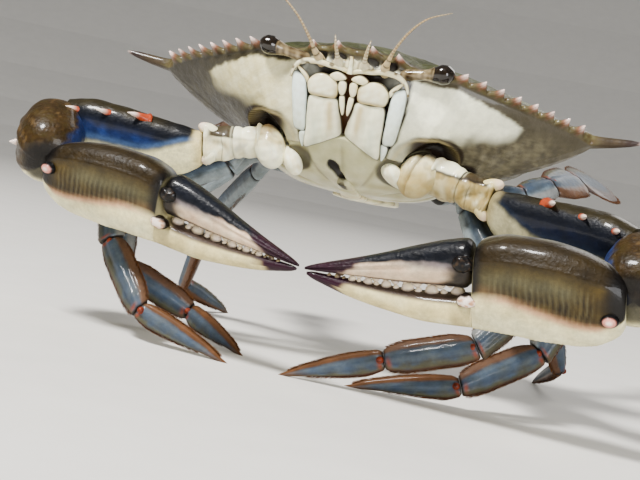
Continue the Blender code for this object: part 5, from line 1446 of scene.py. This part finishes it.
RIM_RADII = (0.3, 0.5, 0.7, 0.8, 0.8, 0.72, 0.68, 0.7, 0.7)
INNER_RIM = ((14.3, -0.5), (12.8, 0.8), (11.5, 2.3), (11.1, 3.6))
NOSE_KEEL = ((0.0, -0.9), (0.0, -2.6), (0.0, -4.2), (0.0, -5.4))
# Ends of the eye's stalk, and its radius from one to the other.
EYE_ROOT, EYE_TIP = np.array([12.0, -27.4, 0.6]), np.array([26.6, -29.4, 2.6])
EYE_TABLE = ((0.0, 1.0), (0.12, 1.5), (0.48, 1.4), (0.58, 1.75), (0.64, 2.05), (0.68, 2.2), (0.78, 2.6),
             (0.88, 2.4), (0.95, 1.6), (0.985, 0.9), (1.0, 0.3))
BROW_HALF = 5.7
print("eye on its stalk:", round(float(np.linalg.norm(EYE_TIP - EYE_ROOT)), 1), "mm long")

# %% Brow and small feelers
def brow_band():
    """Arched band between nose and mouth: an oval tube along X, with a keel in its middle."""
    x = np.linspace(-BROW_HALF, BROW_HALF, 60)
    half = 0.35 + 1.05 * (1.0 - abs(x / 5.75) ** 3.0) ** 0.6
    height, width = oval(round_turns(28), 0.8)
    keel = 0.9 * hump(x, 0.0, 0.8)[:, None]
    forward = -30.0 + width * (1.7 * half / 1.4)[:, None] - keel * (width < 0)
    high = -0.2 + height * half[:, None] + 0.3 * keel * height
    band = np.stack([x[:, None] + 0 * width, forward, high], -1)
    aside = abs(band[..., 0])
    paint = mix(JAW_WHITE, WARM_CREAM, 0.5 + 0.3 * noise3(band, 2.5, 51))
    brown_share = 0.6 * hump(aside, 1.9, 0.4) + 0.5 * ease(4.2, 5.4, aside)
    return shell(band, mix(paint, MOTTLE_BROWN, brown_share), 0.1)


def rim_band(side, path, radii, out):
    """Raised band on the mouth's frame: a tube along a path of across and down."""
    across, down = np.array(path).T
    band = tube_along(mouth_point(side * across, down, np.full(len(path), out)), radii, 0.16, 16)[0]
    level = (band - band.mean(1, keepdims=True)) @ MOUTH_OUT
    tone = mix(JAW_WHITE, WARM_CREAM, 0.5 + 0.4 * noise3(band, 3.0, 54))
    # Painted shade: the side of the band against the shell is brown; elsewhere the brown is random.
    brown_share = np.maximum(ease(0.42, 0.10, level), 0.8 * ease(0.25, 0.7, noise3(band, 4.0, 55)))
    return shell(band, mix(tone, MOTTLE_BROWN, brown_share), 0.1)


def small_feeler(side):
    """Small feeler with its fork: two whips, of which the first is ringed brown beyond its bulb."""
    flip = np.array([side, 1.0, 1.0])
    whip, run = tube_along(np.array(SMALL_FEELER) * flip, SMALL_RADII, 0.12, 12, 0.06, 0.42)
    ringed = (0.35 + 0.35 * np.cos(run * math.tau / 0.84))[:, None] * ease(2.5, 4.0, run)[:, None]
    pale = lerp(FEELER_TAN, JAW_WHITE, 0.4)
    tone = mix(pale, FEELER_BROWN, ringed + 0 * whip[..., 0])
    fork = tube_along(np.array(FORK) * flip, (0.30, 0.26, 0.18, 0.06), 0.12, 10, 0.08, 0.35)[0]
    return [shell(whip, tone, 0.0), shell(fork, FEELER_TAN, 0.0)]


brow_parts = [brow_band()]
for side in (1, -1):
    brow_parts.append(rim_band(side, MOUTH_RIM, RIM_RADII, -0.75))
    brow_parts.append(rim_band(side, INNER_RIM, (0.35, 0.6, 0.65, 0.3), -0.9))
brow_parts.append(rim_band(1, NOSE_KEEL, (0.9, 0.75, 0.7, 0.5), -0.3))
for side in (1, -1):
    brow_parts += small_feeler(side)
make_piece("brow_and_small_feelers", brow_parts, BELLY_FINISH, ["brow"])
print("brow triangles:", pieces["brow_and_small_feelers"])

# %% Long feelers and eyes
def long_feeler(side):
    """Long feeler: a beaded whip with a waist at each of its three joints."""
    path = np.array(LONG_FEELER) * np.array([side, 1.0, 1.0])
    whip, run = tube_along(path, LONG_RADII, 0.11, 12, 0.05, 0.45)
    waist = 1.0 - 0.22 * (hump(run, 2.4, 0.25) + hump(run, 4.6, 0.25) + hump(run, 6.6, 0.25))[:, None, None]
    middle = whip.mean(1, keepdims=True)
    whip = middle + (whip - middle) * waist
    ringed = (0.5 + 0.5 * np.cos(run * math.tau / 0.9))[:, None] * ease(6.5, 9.0, run)[:, None]
    tone = mix(FEELER_TAN, FEELER_BROWN, 0.7 * ringed + 0 * whip[..., 0])
    return shell(whip, mix(tone, SEAM_AND_SHADE_BROWN, 0.7 * (1 - waist[..., 0]) / 0.22), 0.0)


def eye(side):
    """Eye on its stalk: a round profile along a straight axis, with a dark lens at the far end."""
    share = np.concatenate([np.linspace(0.0, 0.6, 26), np.linspace(0.61, 1.0, 40)])
    radius = table_at(EYE_TABLE, share)[0]
    up, face = axes(EYE_ROOT, EYE_TIP, np.array([0.0, -1.0, 0.2]), 1)[1:]
    turn = round_turns(36)
    reach = radius[:, None, None] * (np.cos(turn)[..., None] * up + np.sin(turn)[..., None] * face)
    ball = (EYE_ROOT + (EYE_TIP - EYE_ROOT) * share[:, None, None] + reach) * np.array([side, 1.0, 1.0])
    stalk = mix(FEELER_TAN, MOTTLE_BROWN, 0.6 + 0.4 * noise3(ball, 2.5, 52))
    stalk = mix(stalk, SEAM_AND_SHADE_BROWN, 0.5 * hump(share, 0.62, 0.03)[:, None] + 0 * ball[..., 0])
    cornea = mix(CORNEA_BLACK, CORNEA_BROWN, 0.4 + 0.4 * noise3(ball, 1.2, 53))
    lens = ease(0.635, 0.66, share[:, None] + 0.02 * np.cos(turn * 2))
    return shell(ball, mix(stalk, cornea, lens), 0.0)


for side, name in ((1, "left"), (-1, "right")):
    dress(f"antenna_{name}", [long_feeler(side)], BELLY_FINISH)
    dress(f"eye_{name}", [eye(side)], EYE_FINISH)
print("eye triangles:", pieces["eye_left_skin"])

# %% [markdown]
# Walking legs
#
# Each walking leg is a chain of a ball-ended base and four flattened tubes, of which the last is
# a ridged dagger that stands on its tip. The chain is worked out as in the solids: a heading and
# a slope for each segment, and for the last one the slope that brings its tip to the floor. Near
# a joint each tube narrows to a rounded lip, which leaves the thin dark groove of a real joint.

# %% Leg chains
LEG_LENGTHS = ((8.5, 33.0, 14.0, 23.5, 27.0), (8.5, 34.0, 14.0, 24.0, 28.0), (8.5, 29.0, 12.5, 21.0, 25.0))
# Heading and slope of each segment in degrees, and for the last one its heading alone.
REAR_LEG = ((48, -34), (50, -30), (49, -45), (55, -57), 112)
LEG_POSES = {
    1: (((-34, -50), (-35, -44), (-143, -47), (-174, -20), -178),
        ((0, -45), (-11, -36), (-125, -60), (-142, -28), -174), REAR_LEG),
    -1: (((-34, -50), (-15, -28), (-127, -56), (-150, -41), -176),
         ((0, -45), (-6, -36), (-130, -74), (164, -24), -143), REAR_LEG),
}
LEG_TURNS = (0.0, 10.0, 55.0)
SWIM_LENGTHS = (9.0, 18.0, 11.0, 15.0, 25.0)
SWIM_POSE = ((45, -5), (35, 12), (50, 24), (64, 14), (72, 0))


def heading(side, turn_deg, slope_deg):
    """Unit vector in the crab's frame for a heading and a slope of the standing frame."""
    turn, slope = math.radians(turn_deg), math.radians(slope_deg)
    level = math.cos(slope)
    standing = np.array([side * math.cos(turn) * level, math.sin(turn) * level, math.sin(slope)])
    return unit(TURN.T @ standing)


def chain(side, hip, lengths, pose):
    """Joint points of a leg. A last segment given by a heading alone slopes down to the floor."""
    points = [hip]
    for length, step in zip(lengths, pose):
        if np.ndim(step) == 0:
            height = (TURN @ points[-1] + PLACE)[2]
            step = (step, -math.degrees(math.asin(height / length)))
        points.append(points[-1] + heading(side, *step) * length)
    return points


def leg_profile(turn):
    """Flattened oval with a low ridge along each face and a keel along both edges."""
    height, width = np.cos(turn), np.sin(turn)
    ridges = 0.16 * hump(abs(height), 0.0, 0.22) - 0.10 * hump(abs(height), 0.45, 0.15)
    return height * (1.0 + 0.03 * np.cos(4 * turn)), width * (1.0 + ridges)


def dagger_profile(turn):
    """Oval with three ribs on each face."""
    height, width = np.cos(turn), np.sin(turn)
    return height, width * (1.0 + 0.12 * np.cos(6 * turn + math.pi))


def flat_table(*rows):
    """Rows of share, half height and half width, none of them riding above the axis."""
    return tuple((*row, 0.0) for row in rows)


MERUS_TABLE = flat_table((0.0, 2.8, 1.8), (0.025, 3.35, 2.15), (0.3, 4.2, 2.5), (0.75, 4.2, 2.4),
                         (0.975, 3.6, 2.2), (1.0, 3.1, 1.9))
CARPUS_TABLE = flat_table((0.0, 3.0, 1.9), (0.05, 3.5, 2.2), (0.5, 3.9, 2.4), (0.95, 3.65, 2.1),
                          (1.0, 3.2, 1.8))
PROPODUS_TABLE = flat_table((0.0, 2.7, 1.8), (0.035, 3.25, 2.1), (0.25, 3.9, 2.2), (0.7, 3.9, 2.0),
                            (0.965, 2.9, 1.75), (1.0, 2.5, 1.5))
DAGGER_TABLE = ((0.0, 2.2, 1.4, 0.0), (0.03, 2.7, 1.7, 0.0), (0.25, 3.1, 1.6, 0.1), (0.6, 2.3, 1.2, 0.2),
                (0.88, 1.0, 0.8, 0.1), (0.97, 0.6, 0.5, 0.0), (1.0, 0.5, 0.45, 0.0))
SWIM_MERUS = flat_table((0.0, 3.5, 2.3), (0.04, 4.1, 2.6), (0.3, 5.0, 3.0), (0.75, 5.0, 2.9),
                        (0.96, 4.3, 2.6), (1.0, 3.8, 2.3))
SWIM_CARPUS = flat_table((0.0, 3.7, 2.3), (0.06, 4.3, 2.6), (0.5, 5.0, 2.7), (0.94, 4.5, 2.2),
                         (1.0, 3.9, 1.9))
SWIM_PROPODUS = flat_table((0.0, 3.9, 2.0), (0.05, 4.5, 2.2), (0.4, 6.6, 1.8), (0.8, 7.0, 1.5),
                           (0.96, 5.3, 1.2), (1.0, 4.4, 1.0))
PADDLE_TABLE = flat_table((0.0, 4.2, 1.1), (0.03, 5.0, 1.2), (0.18, 7.2, 1.1), (0.45, 8.6, 0.9),
                          (0.72, 7.6, 0.8), (0.9, 4.8, 0.6), (0.97, 2.8, 0.5), (1.0, 1.4, 0.35))
WALKING_PARTS = (("merus", MERUS_TABLE, leg_profile), ("carpus", CARPUS_TABLE, leg_profile),
                 ("propodus", PROPODUS_TABLE, leg_profile), ("dactyl", DAGGER_TABLE, dagger_profile))
SWIM_PARTS = (("merus", SWIM_MERUS, leg_profile), ("carpus", SWIM_CARPUS, leg_profile),
              ("propodus", SWIM_PROPODUS, leg_profile), ("paddle", PADDLE_TABLE, leg_profile))
print("walking legs", [sum(lengths) for lengths in LEG_LENGTHS], "mm along their segments")

# %% Leg paint
LEG_BLUE, LEG_GREY, LEG_PALE = np.array([(0.078, 0.110, 0.158), (0.110, 0.128, 0.138), (0.50, 0.60, 0.62)])
LEG_OLIVE, LEG_AMBER = np.array([(0.115, 0.100, 0.040), (0.155, 0.072, 0.022)])
EDGE_BROWN, JOINT_RED = np.array([(0.085, 0.036, 0.022), (0.30, 0.070, 0.030)])
# How far the brown of the edges shows on each segment.
EDGE_SHOW, PLAIN_SHOW = {"dactyl": 0.9, "paddle": 0.5, "propodus": 0.75, "carpus": 0.4}, 0.2


def leg_paint(points, share, height, part):
    """Blue-grey faces, olive upper edge, paler underside, red spots beside the joints."""
    blotch = noise3(points, 5.0, 61) + 0.5 * noise3(points, 2.2, 62)
    paint = mix(LEG_BLUE, LEG_GREY, 0.5 + 0.4 * blotch)
    paint = mix(paint, LEG_OLIVE, 0.75 * ease(0.35, 0.85, height + 0.15 * blotch))
    under = ease(-0.2, -0.8, height + 0.15 * blotch)
    paint = mix(paint, LEG_PALE, 0.55 * under * (part in ("merus", "carpus", "base")))
    rim = EDGE_SHOW.get(part, PLAIN_SHOW)
    paint = mix(paint, LEG_AMBER, rim * ease(-0.42, -0.62, height + 0.05 * blotch))
    paint = mix(paint, EDGE_BROWN, rim * ease(0.80, 0.94, height))
    if part in ("dactyl", "paddle"):
        paint = mix(paint, LEG_AMBER, 0.7 * ease(0.70, 0.98, share))
    rib = 0.3 * hump(abs(height), 0.45, 0.07) * ease(0.06, 0.12, share) * ease(0.97, 0.9, share)
    paint = mix(paint, SEAM_AND_SHADE_BROWN * 1.5, rib)
    if part != "base":
        paint = mix(paint, JOINT_RED, 0.75 * hump(share, 0.045, 0.025) * hump(height, 0.55, 0.30))
    if part not in ("dactyl", "paddle"):
        paint = mix(paint, JOINT_RED, 0.75 * hump(share, 0.955, 0.025) * hump(height, 0.35, 0.40))
        paint = mix(paint, SEAM_AND_SHADE_BROWN, 0.85 * ease(0.975, 1.0, share))
    return mix(paint, SEAM_AND_SHADE_BROWN, 0.85 * ease(0.025, 0.0, share))


print("segments with a brown edge:", list(EDGE_SHOW))

# %% Build the legs
def base_table(length, radius, end_high, end_wide):
    """Hip ball that narrows to a neck and widens to the next segment."""
    r, share = radius, radius / length
    return ((-0.92 * share, 0.38 * r, 0.38 * r, 0.0), (-0.6 * share, 0.8 * r, 0.8 * r, 0.0), (0.0, r, r, 0.0),
            (0.55 * share, 0.85 * r, 0.85 * r, 0.0), (0.95 * share, 0.7 * r, 0.7 * r, 0.0),
            (0.95, end_high, end_wide, 0.0), (1.0, 0.88 * end_high, 0.88 * end_wide, 0.0))


def end_shares(table, rows):
    """Shares from the first to the last station, closer together near both ends."""
    s = np.linspace(0.0, 1.0, rows)
    s = lerp(s, 0.5 - 0.5 * np.cos(math.pi * s), 0.75)
    return lerp(table[0][0], table[-1][0], s)


FLOOR_PLANE = (TURN.T @ -PLACE, TURN.T @ np.array([0.0, 0.0, -1.0]))
BASE_GAP = 0.25
leg_limbs = {}


def build_leg(name, side, points, facing, parts, first_table):
    """Base and segments of one leg, each with the mitred ends of its solid."""
    along = [unit(b - a) for a, b in zip(points, points[1:])]
    stages = [("base", first_table, oval)] + list(parts)
    for i, (part, table, profile) in enumerate(stages):
        start, end, before, after = points[i], points[i + 1], None, None
        share = end_shares(table, 44 if i else 36)
        if i:
            before = joint_plane(along[i - 1], along[i], start, JOINT_GAP / 2)
            if part != stages[-1][0]:
                after = joint_plane(along[i], along[i + 1], end, -JOINT_GAP / 2)
        else:
            share = share * (1.0 - BASE_GAP / np.linalg.norm(end - start))
        if part == "dactyl":
            after = FLOOR_PLANE
        turn = round_turns(48 if part != "paddle" else 64)
        made, height, _ = limb_tube(start, end, facing, side, table, share, turn, profile, before, after)
        made = made + 0.05 * noise3(made, 3.0, 63)[..., None] * facing * ease(1.0, 0.97, share)[:, None, None]
        shells = [shell(made, leg_paint(made, share[:, None] + 0 * height, height, part), 0.2)]
        if part in ("propodus", "dactyl"):
            way, up, face = axes(start, end, facing, side)
            knob = ellipsoid(start + way * 0.9 + face * 1.5, (face, way, up), (1.1, 1.0, 1.0), 14, 20)
            tone = mix(JOINT_RED, JOINT_RED * 0.4, 0.5 - 0.5 * noise3(knob, 2.0, 64))
            shells.append(shell(knob, tone, 0.1))
        dress(f"{name}_{part}", shells, LEG_FINISH)
        leg_limbs[f"{name}_{part}"] = (start, end, facing, side, table, profile, before, after)


for side, side_name in ((1, "left"), (-1, "right")):
    for i, hip in enumerate(LEG_HIPS):
        points = chain(side, mirrored(hip, side), LEG_LENGTHS[i], LEG_POSES[side][i])
        facing = heading(side, -90.0 + LEG_TURNS[i], 8.0)
        base = base_table(LEG_LENGTHS[i][0], LEG_HIP_RADII[i], 3.3, 2.2)
        build_leg(f"leg{i + 2}_{side_name}", side, points, facing, WALKING_PARTS, base)
    points = chain(side, mirrored(SWIM_HIP, side), SWIM_LENGTHS, SWIM_POSE)
    base = base_table(SWIM_LENGTHS[0], SWIM_HIP_RADIUS, 3.9, 2.7)
    facing = heading(side, -30.0, 62.0)
    build_leg(f"swimmer_{side_name}", side, points, facing, SWIM_PARTS, base)
print("leg pieces:", len(leg_limbs))

# %% [markdown]
# Fringes of hair
#
# Stiff brown bristles stand in rows along both edges of the last two segments of each walking leg
# and round the paddles, and shorter ones on the edges above. Each bristle is a thin three-sided
# spike of its own, rooted on the skin and leaning towards the tip. They are made all at once as
# arrays from random places on the same tubes, and every one also has a small patch on a map of
# its leg's skin, so that its colour can be baked.

# %% Bristles
def tube_places(limb, share, turn):
    """Points of a leg's tube at single shares and turns, with the mitred ends of limb_tube."""
    start, end, facing, side, table, profile, before, after = limb
    along, up, face = axes(start, end, facing, side)
    half_high, half_wide, rise = (column[:, None] for column in table_at(table, share))
    height, width = profile(turn)
    centre = start + (end - start) * share[:, None]
    out = half_high * height[:, None] * up + half_wide * width[:, None] * face
    points = centre + up * rise + out
    first, last = table[0][0], table[-1][0]
    low = slide(points, along, *(before or (start, along)))
    high = slide(points, along, *(after or (end, along)))
    return lerp(low, high, ((share - first) / (last - first))[:, None]), unit(out), along


def bristles(limb, edge_turns, spread, span, count, length, thickness, lean, seed, tile):
    """Bristles along the edges of a leg's tube.

    Each edge is a turn round the tube. Shares are even with a little chance, turns scatter about
    the edge, and each bristle leans from the surface's outward way towards the tip. A bristle is
    three rings of three points and a tip, bent a little more at each ring.
    """
    rng = np.random.default_rng(seed)
    edge = np.repeat(np.asarray(edge_turns, float), count)
    share = np.tile((np.arange(count) + 0.5) / count, len(edge_turns)) + rng.normal(0, 0.4 / count, len(edge))
    share = lerp(span[0], span[1], np.clip(share, 0.0, 1.0))
    turn = edge + rng.normal(0, spread, len(edge))
    root, out, along = tube_places(limb, share, turn)
    way = unit(out + lean * along + rng.normal(0, 0.16, root.shape))
    shorter = 0.45 + 0.55 * ease(0.0, 0.12, (share - span[0])) * ease(0.0, 0.10, span[1] - share + 0.03)
    long = length * rng.uniform(0.65, 1.15, len(root)) * shorter
    across = unit(np.cross(way, along + 0.01))
    other = np.cross(way, across)
    steps = np.array([-0.12, 0.35, 0.72, 1.0])
    girth = np.array([1.0, 0.85, 0.5, 0.0]) * thickness
    bend = np.array([0.0, 0.06, 0.24, 0.46])
    spin = np.arange(3) / 3 * math.tau
    ring = np.cos(spin)[:, None] * across[:, None] + np.sin(spin)[:, None] * other[:, None]
    axis = root[:, None] + (way[:, None] * steps[:, None] + along * bend[:, None]) * long[:, None, None]
    points = axis[:, :3, None] + ring[:, None] * girth[:3, None, None]
    points = np.concatenate([points.reshape(len(root), 9, 3), axis[:, 3:]], 1)
    patch = np.array([[i % 3, i // 3] for i in range(9)] + [[1, 3]]) * 0.001
    place = np.stack([share, (turn / math.tau) % 1.0], -1) * 0.11 + np.array(tile)
    shade = rng.uniform(0.7, 1.25, (len(root), 1, 1))
    tint = np.array([[HAIR_ROOT] * 3 + [HAIR_MIDDLE] * 3 + [HAIR_TIP] * 4]) * shade
    return points, tint, place[:, None] + patch


HAIR_ROOT, HAIR_MIDDLE = np.array([(0.085, 0.036, 0.014), (0.130, 0.055, 0.018)])
HAIR_TIP = np.array([0.21, 0.105, 0.040])
HAIR_QUADS = np.array([[r + i, r + (i + 1) % 3, r + 3 + (i + 1) % 3, r + 3 + i]
                       for r in (0, 3) for i in range(3)])
HAIR_TRIS = np.array([[2, 1, 0], [6, 7, 9], [7, 8, 9], [8, 6, 9]])


def bristle_shell(points, tint, place):
    """Joins bristles into one shell and its bake map."""
    count = len(points)
    step = (np.arange(count) * 10)[:, None, None]
    colour = np.zeros((count, 10, 4))
    colour[..., :3] = tint
    quads, tris = (HAIR_QUADS + step).reshape(-1, 4), (HAIR_TRIS + step).reshape(-1, 3)
    return (points.reshape(-1, 3), quads, tris, colour.reshape(-1, 4)), place.reshape(-1, 2)


# Edge turns of a tube: 0 is its upper edge, half a turn its lower edge. Then the scatter about
# the edge, the shares that it spans, bristles an edge, length, thickness and lean.
TOP_EDGE, LOW_EDGE = 0.0, math.pi
HAIR_ROWS = {
    "dactyl": ((TOP_EDGE, LOW_EDGE), 0.16, (0.03, 0.86), 380, 0.85, 0.055, 1.7),
    "propodus": ((TOP_EDGE, LOW_EDGE), 0.16, (0.06, 0.96), 360, 0.90, 0.055, 1.6),
    "carpus": ((TOP_EDGE, LOW_EDGE), 0.14, (0.15, 0.92), 110, 0.7, 0.055, 1.5),
    "merus": ((LOW_EDGE,), 0.14, (0.25, 0.95), 160, 0.7, 0.055, 1.5),
    "paddle": ((TOP_EDGE, LOW_EDGE), 0.05, (0.05, 0.95), 420, 1.3, 0.060, 1.0),
}


def above_floor(points, tint, place):
    """Keeps the bristles that stay above the floor."""
    keep = stand(points)[..., 2].min(1) > 0.0002
    return points[keep], tint[keep], place[keep]


def grow_hair(piece_name, names):
    """One piece of hair for several leg segments, each with its own tile of the bake map."""
    grown, maps = [], []
    for i, name in enumerate(names):
        rows = HAIR_ROWS[name.split("_")[-1]]
        if name.startswith("swimmer") and not name.endswith("paddle"):
            rows = (*rows[:3], rows[3] // 2, rows[4] * 0.6, *rows[5:])
        tile = (0.01 + 0.12 * (i % 8), 0.01 + 0.12 * (i // 8))
        seed = 700 + i + len(piece_name)
        made, bake = bristle_shell(*above_floor(*bristles(leg_limbs[name], *rows, seed, tile)))
        grown.append(made)
        maps.append(bake)
    make_piece(piece_name, grown, HAIR_FINISH, [], np.concatenate(maps))
    print(piece_name, "triangles:", pieces[piece_name])


haired = [name for name in leg_limbs if name.split("_")[-1] in HAIR_ROWS]
for side_name in ("left", "right"):
    on_side = [name for name in haired if name.startswith("leg") and side_name in name]
    grow_hair(f"leg_hair_{side_name}", on_side)
grow_hair("paddle_hair", [n for n in haired if n.startswith("swimmer")])

# %% [markdown]
# Floor, light and camera
#
# The model is shown as a museum would show it: on a plain pale floor in soft light, seen from
# low in front as in the photograph. A large lamp above stands for a window and gives the wet
# shell its long highlights, a second fills the shadows, and the pale sky does the rest. The
# camera was worked out in the crab's own frame, so it is carried to the floor by the same turn.

# %% Floor and light
def disc(radius, rings, around):
    """Round floor that is flat in the middle and sweeps up at its edge by the square of the way out."""
    reach = (np.linspace(0.0, 1.0, rings + 1)[1:] ** 2 * radius)[:, None]
    turn = np.arange(around) / around * math.tau
    sweep = 0.45 * np.maximum(0.0, reach - 1.3) ** 2
    return np.stack([reach * np.cos(turn), reach * np.sin(turn), sweep + 0 * turn], -1)


floor_points = disc(4.0, 40, 96)
floor_mesh = bpy.data.meshes.new("floor")
rows, cols = floor_points.shape[:2]
index = np.arange(rows * cols).reshape(rows, cols)
after = np.roll(index, -1, axis=1)
quads = np.stack([index[:-1], index[1:], after[1:], after[:-1]], -1).reshape(-1, 4)
middle = [(rows * cols, int(i), int(j)) for i, j in zip(index[0], after[0])]
floor_flat = np.concatenate([floor_points.reshape(-1, 3), [[0.0, 0.0, 0.0]]])
floor_mesh.from_pydata(floor_flat.tolist(), [], quads.tolist() + middle)
floor = bpy.data.objects.new("floor", floor_mesh)
bpy.context.scene.collection.objects.link(floor)

floor_finish = bpy.data.materials.new("pale_floor")
floor_finish.use_nodes = True
floor_tree = floor_finish.node_tree
join = floor_tree.links.new
floor_surface = floor_tree.nodes["Principled BSDF"]
floor_surface.inputs["Roughness"].default_value = 0.7
grain = node(floor_tree, "ShaderNodeTexNoise", Scale=60.0, Detail=6.0)
join(node(floor_tree, "ShaderNodeTexCoord").outputs["Object"], grain.inputs["Vector"])
ramp = node(floor_tree, "ShaderNodeValToRGB")
ramp.color_ramp.elements[0].color = (0.66, 0.64, 0.60, 1.0)
ramp.color_ramp.elements[1].color = (0.74, 0.72, 0.68, 1.0)
join(grain.outputs["Fac"], ramp.inputs["Fac"])
join(ramp.outputs["Color"], floor_surface.inputs["Base Color"])
floor_mesh.materials.append(floor_finish)


def lamp(name, place, aim, size, power, colour):
    """Square area lamp at place, turned to aim."""
    light = bpy.data.lights.new(name, "AREA")
    light.size, light.energy, light.color = size, power, colour
    made = bpy.data.objects.new(name, light)
    bpy.context.scene.collection.objects.link(made)
    back = unit(np.array(place) - np.array(aim))
    right = unit(np.cross([0.0, 0.0, 1.0], back))
    matrix = np.eye(4)
    matrix[:3, :3] = np.stack([right, np.cross(back, right), back], 1)
    matrix[:3, 3] = place
    made.matrix_world = Matrix(matrix.tolist())


lamp("window", (-0.35, -0.55, 0.85), (0.0, 0.0, 0.04), 0.18, 28.0, (1.0, 0.98, 0.95))
lamp("fill", (0.70, -0.85, 0.12), (0.0, 0.0, 0.07), 0.60, 17.0, (0.97, 0.98, 1.0))
lamp("rear", (0.3, 0.8, 0.7), (0.0, 0.0, 0.05), 0.6, 6.0, (1.0, 0.97, 0.93))
world = bpy.data.worlds.new("pale_room")
world.use_nodes = True
world.node_tree.nodes["Background"].inputs["Color"].default_value = (0.80, 0.82, 0.85, 1.0)
world.node_tree.nodes["Background"].inputs["Strength"].default_value = 0.30
bpy.context.scene.world = world
print("floor and three lamps placed")

# %% Camera
CAMERA_AXES = np.array([[0.9467, 0.1996, 0.2530], [-0.1990, -0.2554, 0.9461], [0.2535, -0.9460, -0.2021]])
LOOK_AT, CAMERA_DISTANCE = np.array([-4.493, 0.0, -40.473]), 383.888
FOCAL_PIXELS, IMAGE_WIDTH, SENSOR = 1400.0, 640.0, 36.0
camera = bpy.data.objects.new("photo_camera", bpy.data.cameras.new("photo_camera"))
camera.data.sensor_width = SENSOR
camera.data.lens = SENSOR * FOCAL_PIXELS / IMAGE_WIDTH
camera.data.clip_start, camera.data.clip_end = 0.01, 20.0
view = np.eye(4)
view[:3, :3] = TURN @ CAMERA_AXES.T
view[:3, 3] = stand(LOOK_AT + unit(CAMERA_AXES[2]) * CAMERA_DISTANCE)
camera.matrix_world = Matrix(view.tolist())
bpy.context.scene.collection.objects.link(camera)
bpy.context.scene.camera = camera
print("camera", np.round(view[:3, 3], 4), "metres, lens", round(camera.data.lens, 2), "mm")

# %% Sizes
print("triangles in all:", sum(pieces.values()), "in", len(pieces), "pieces")
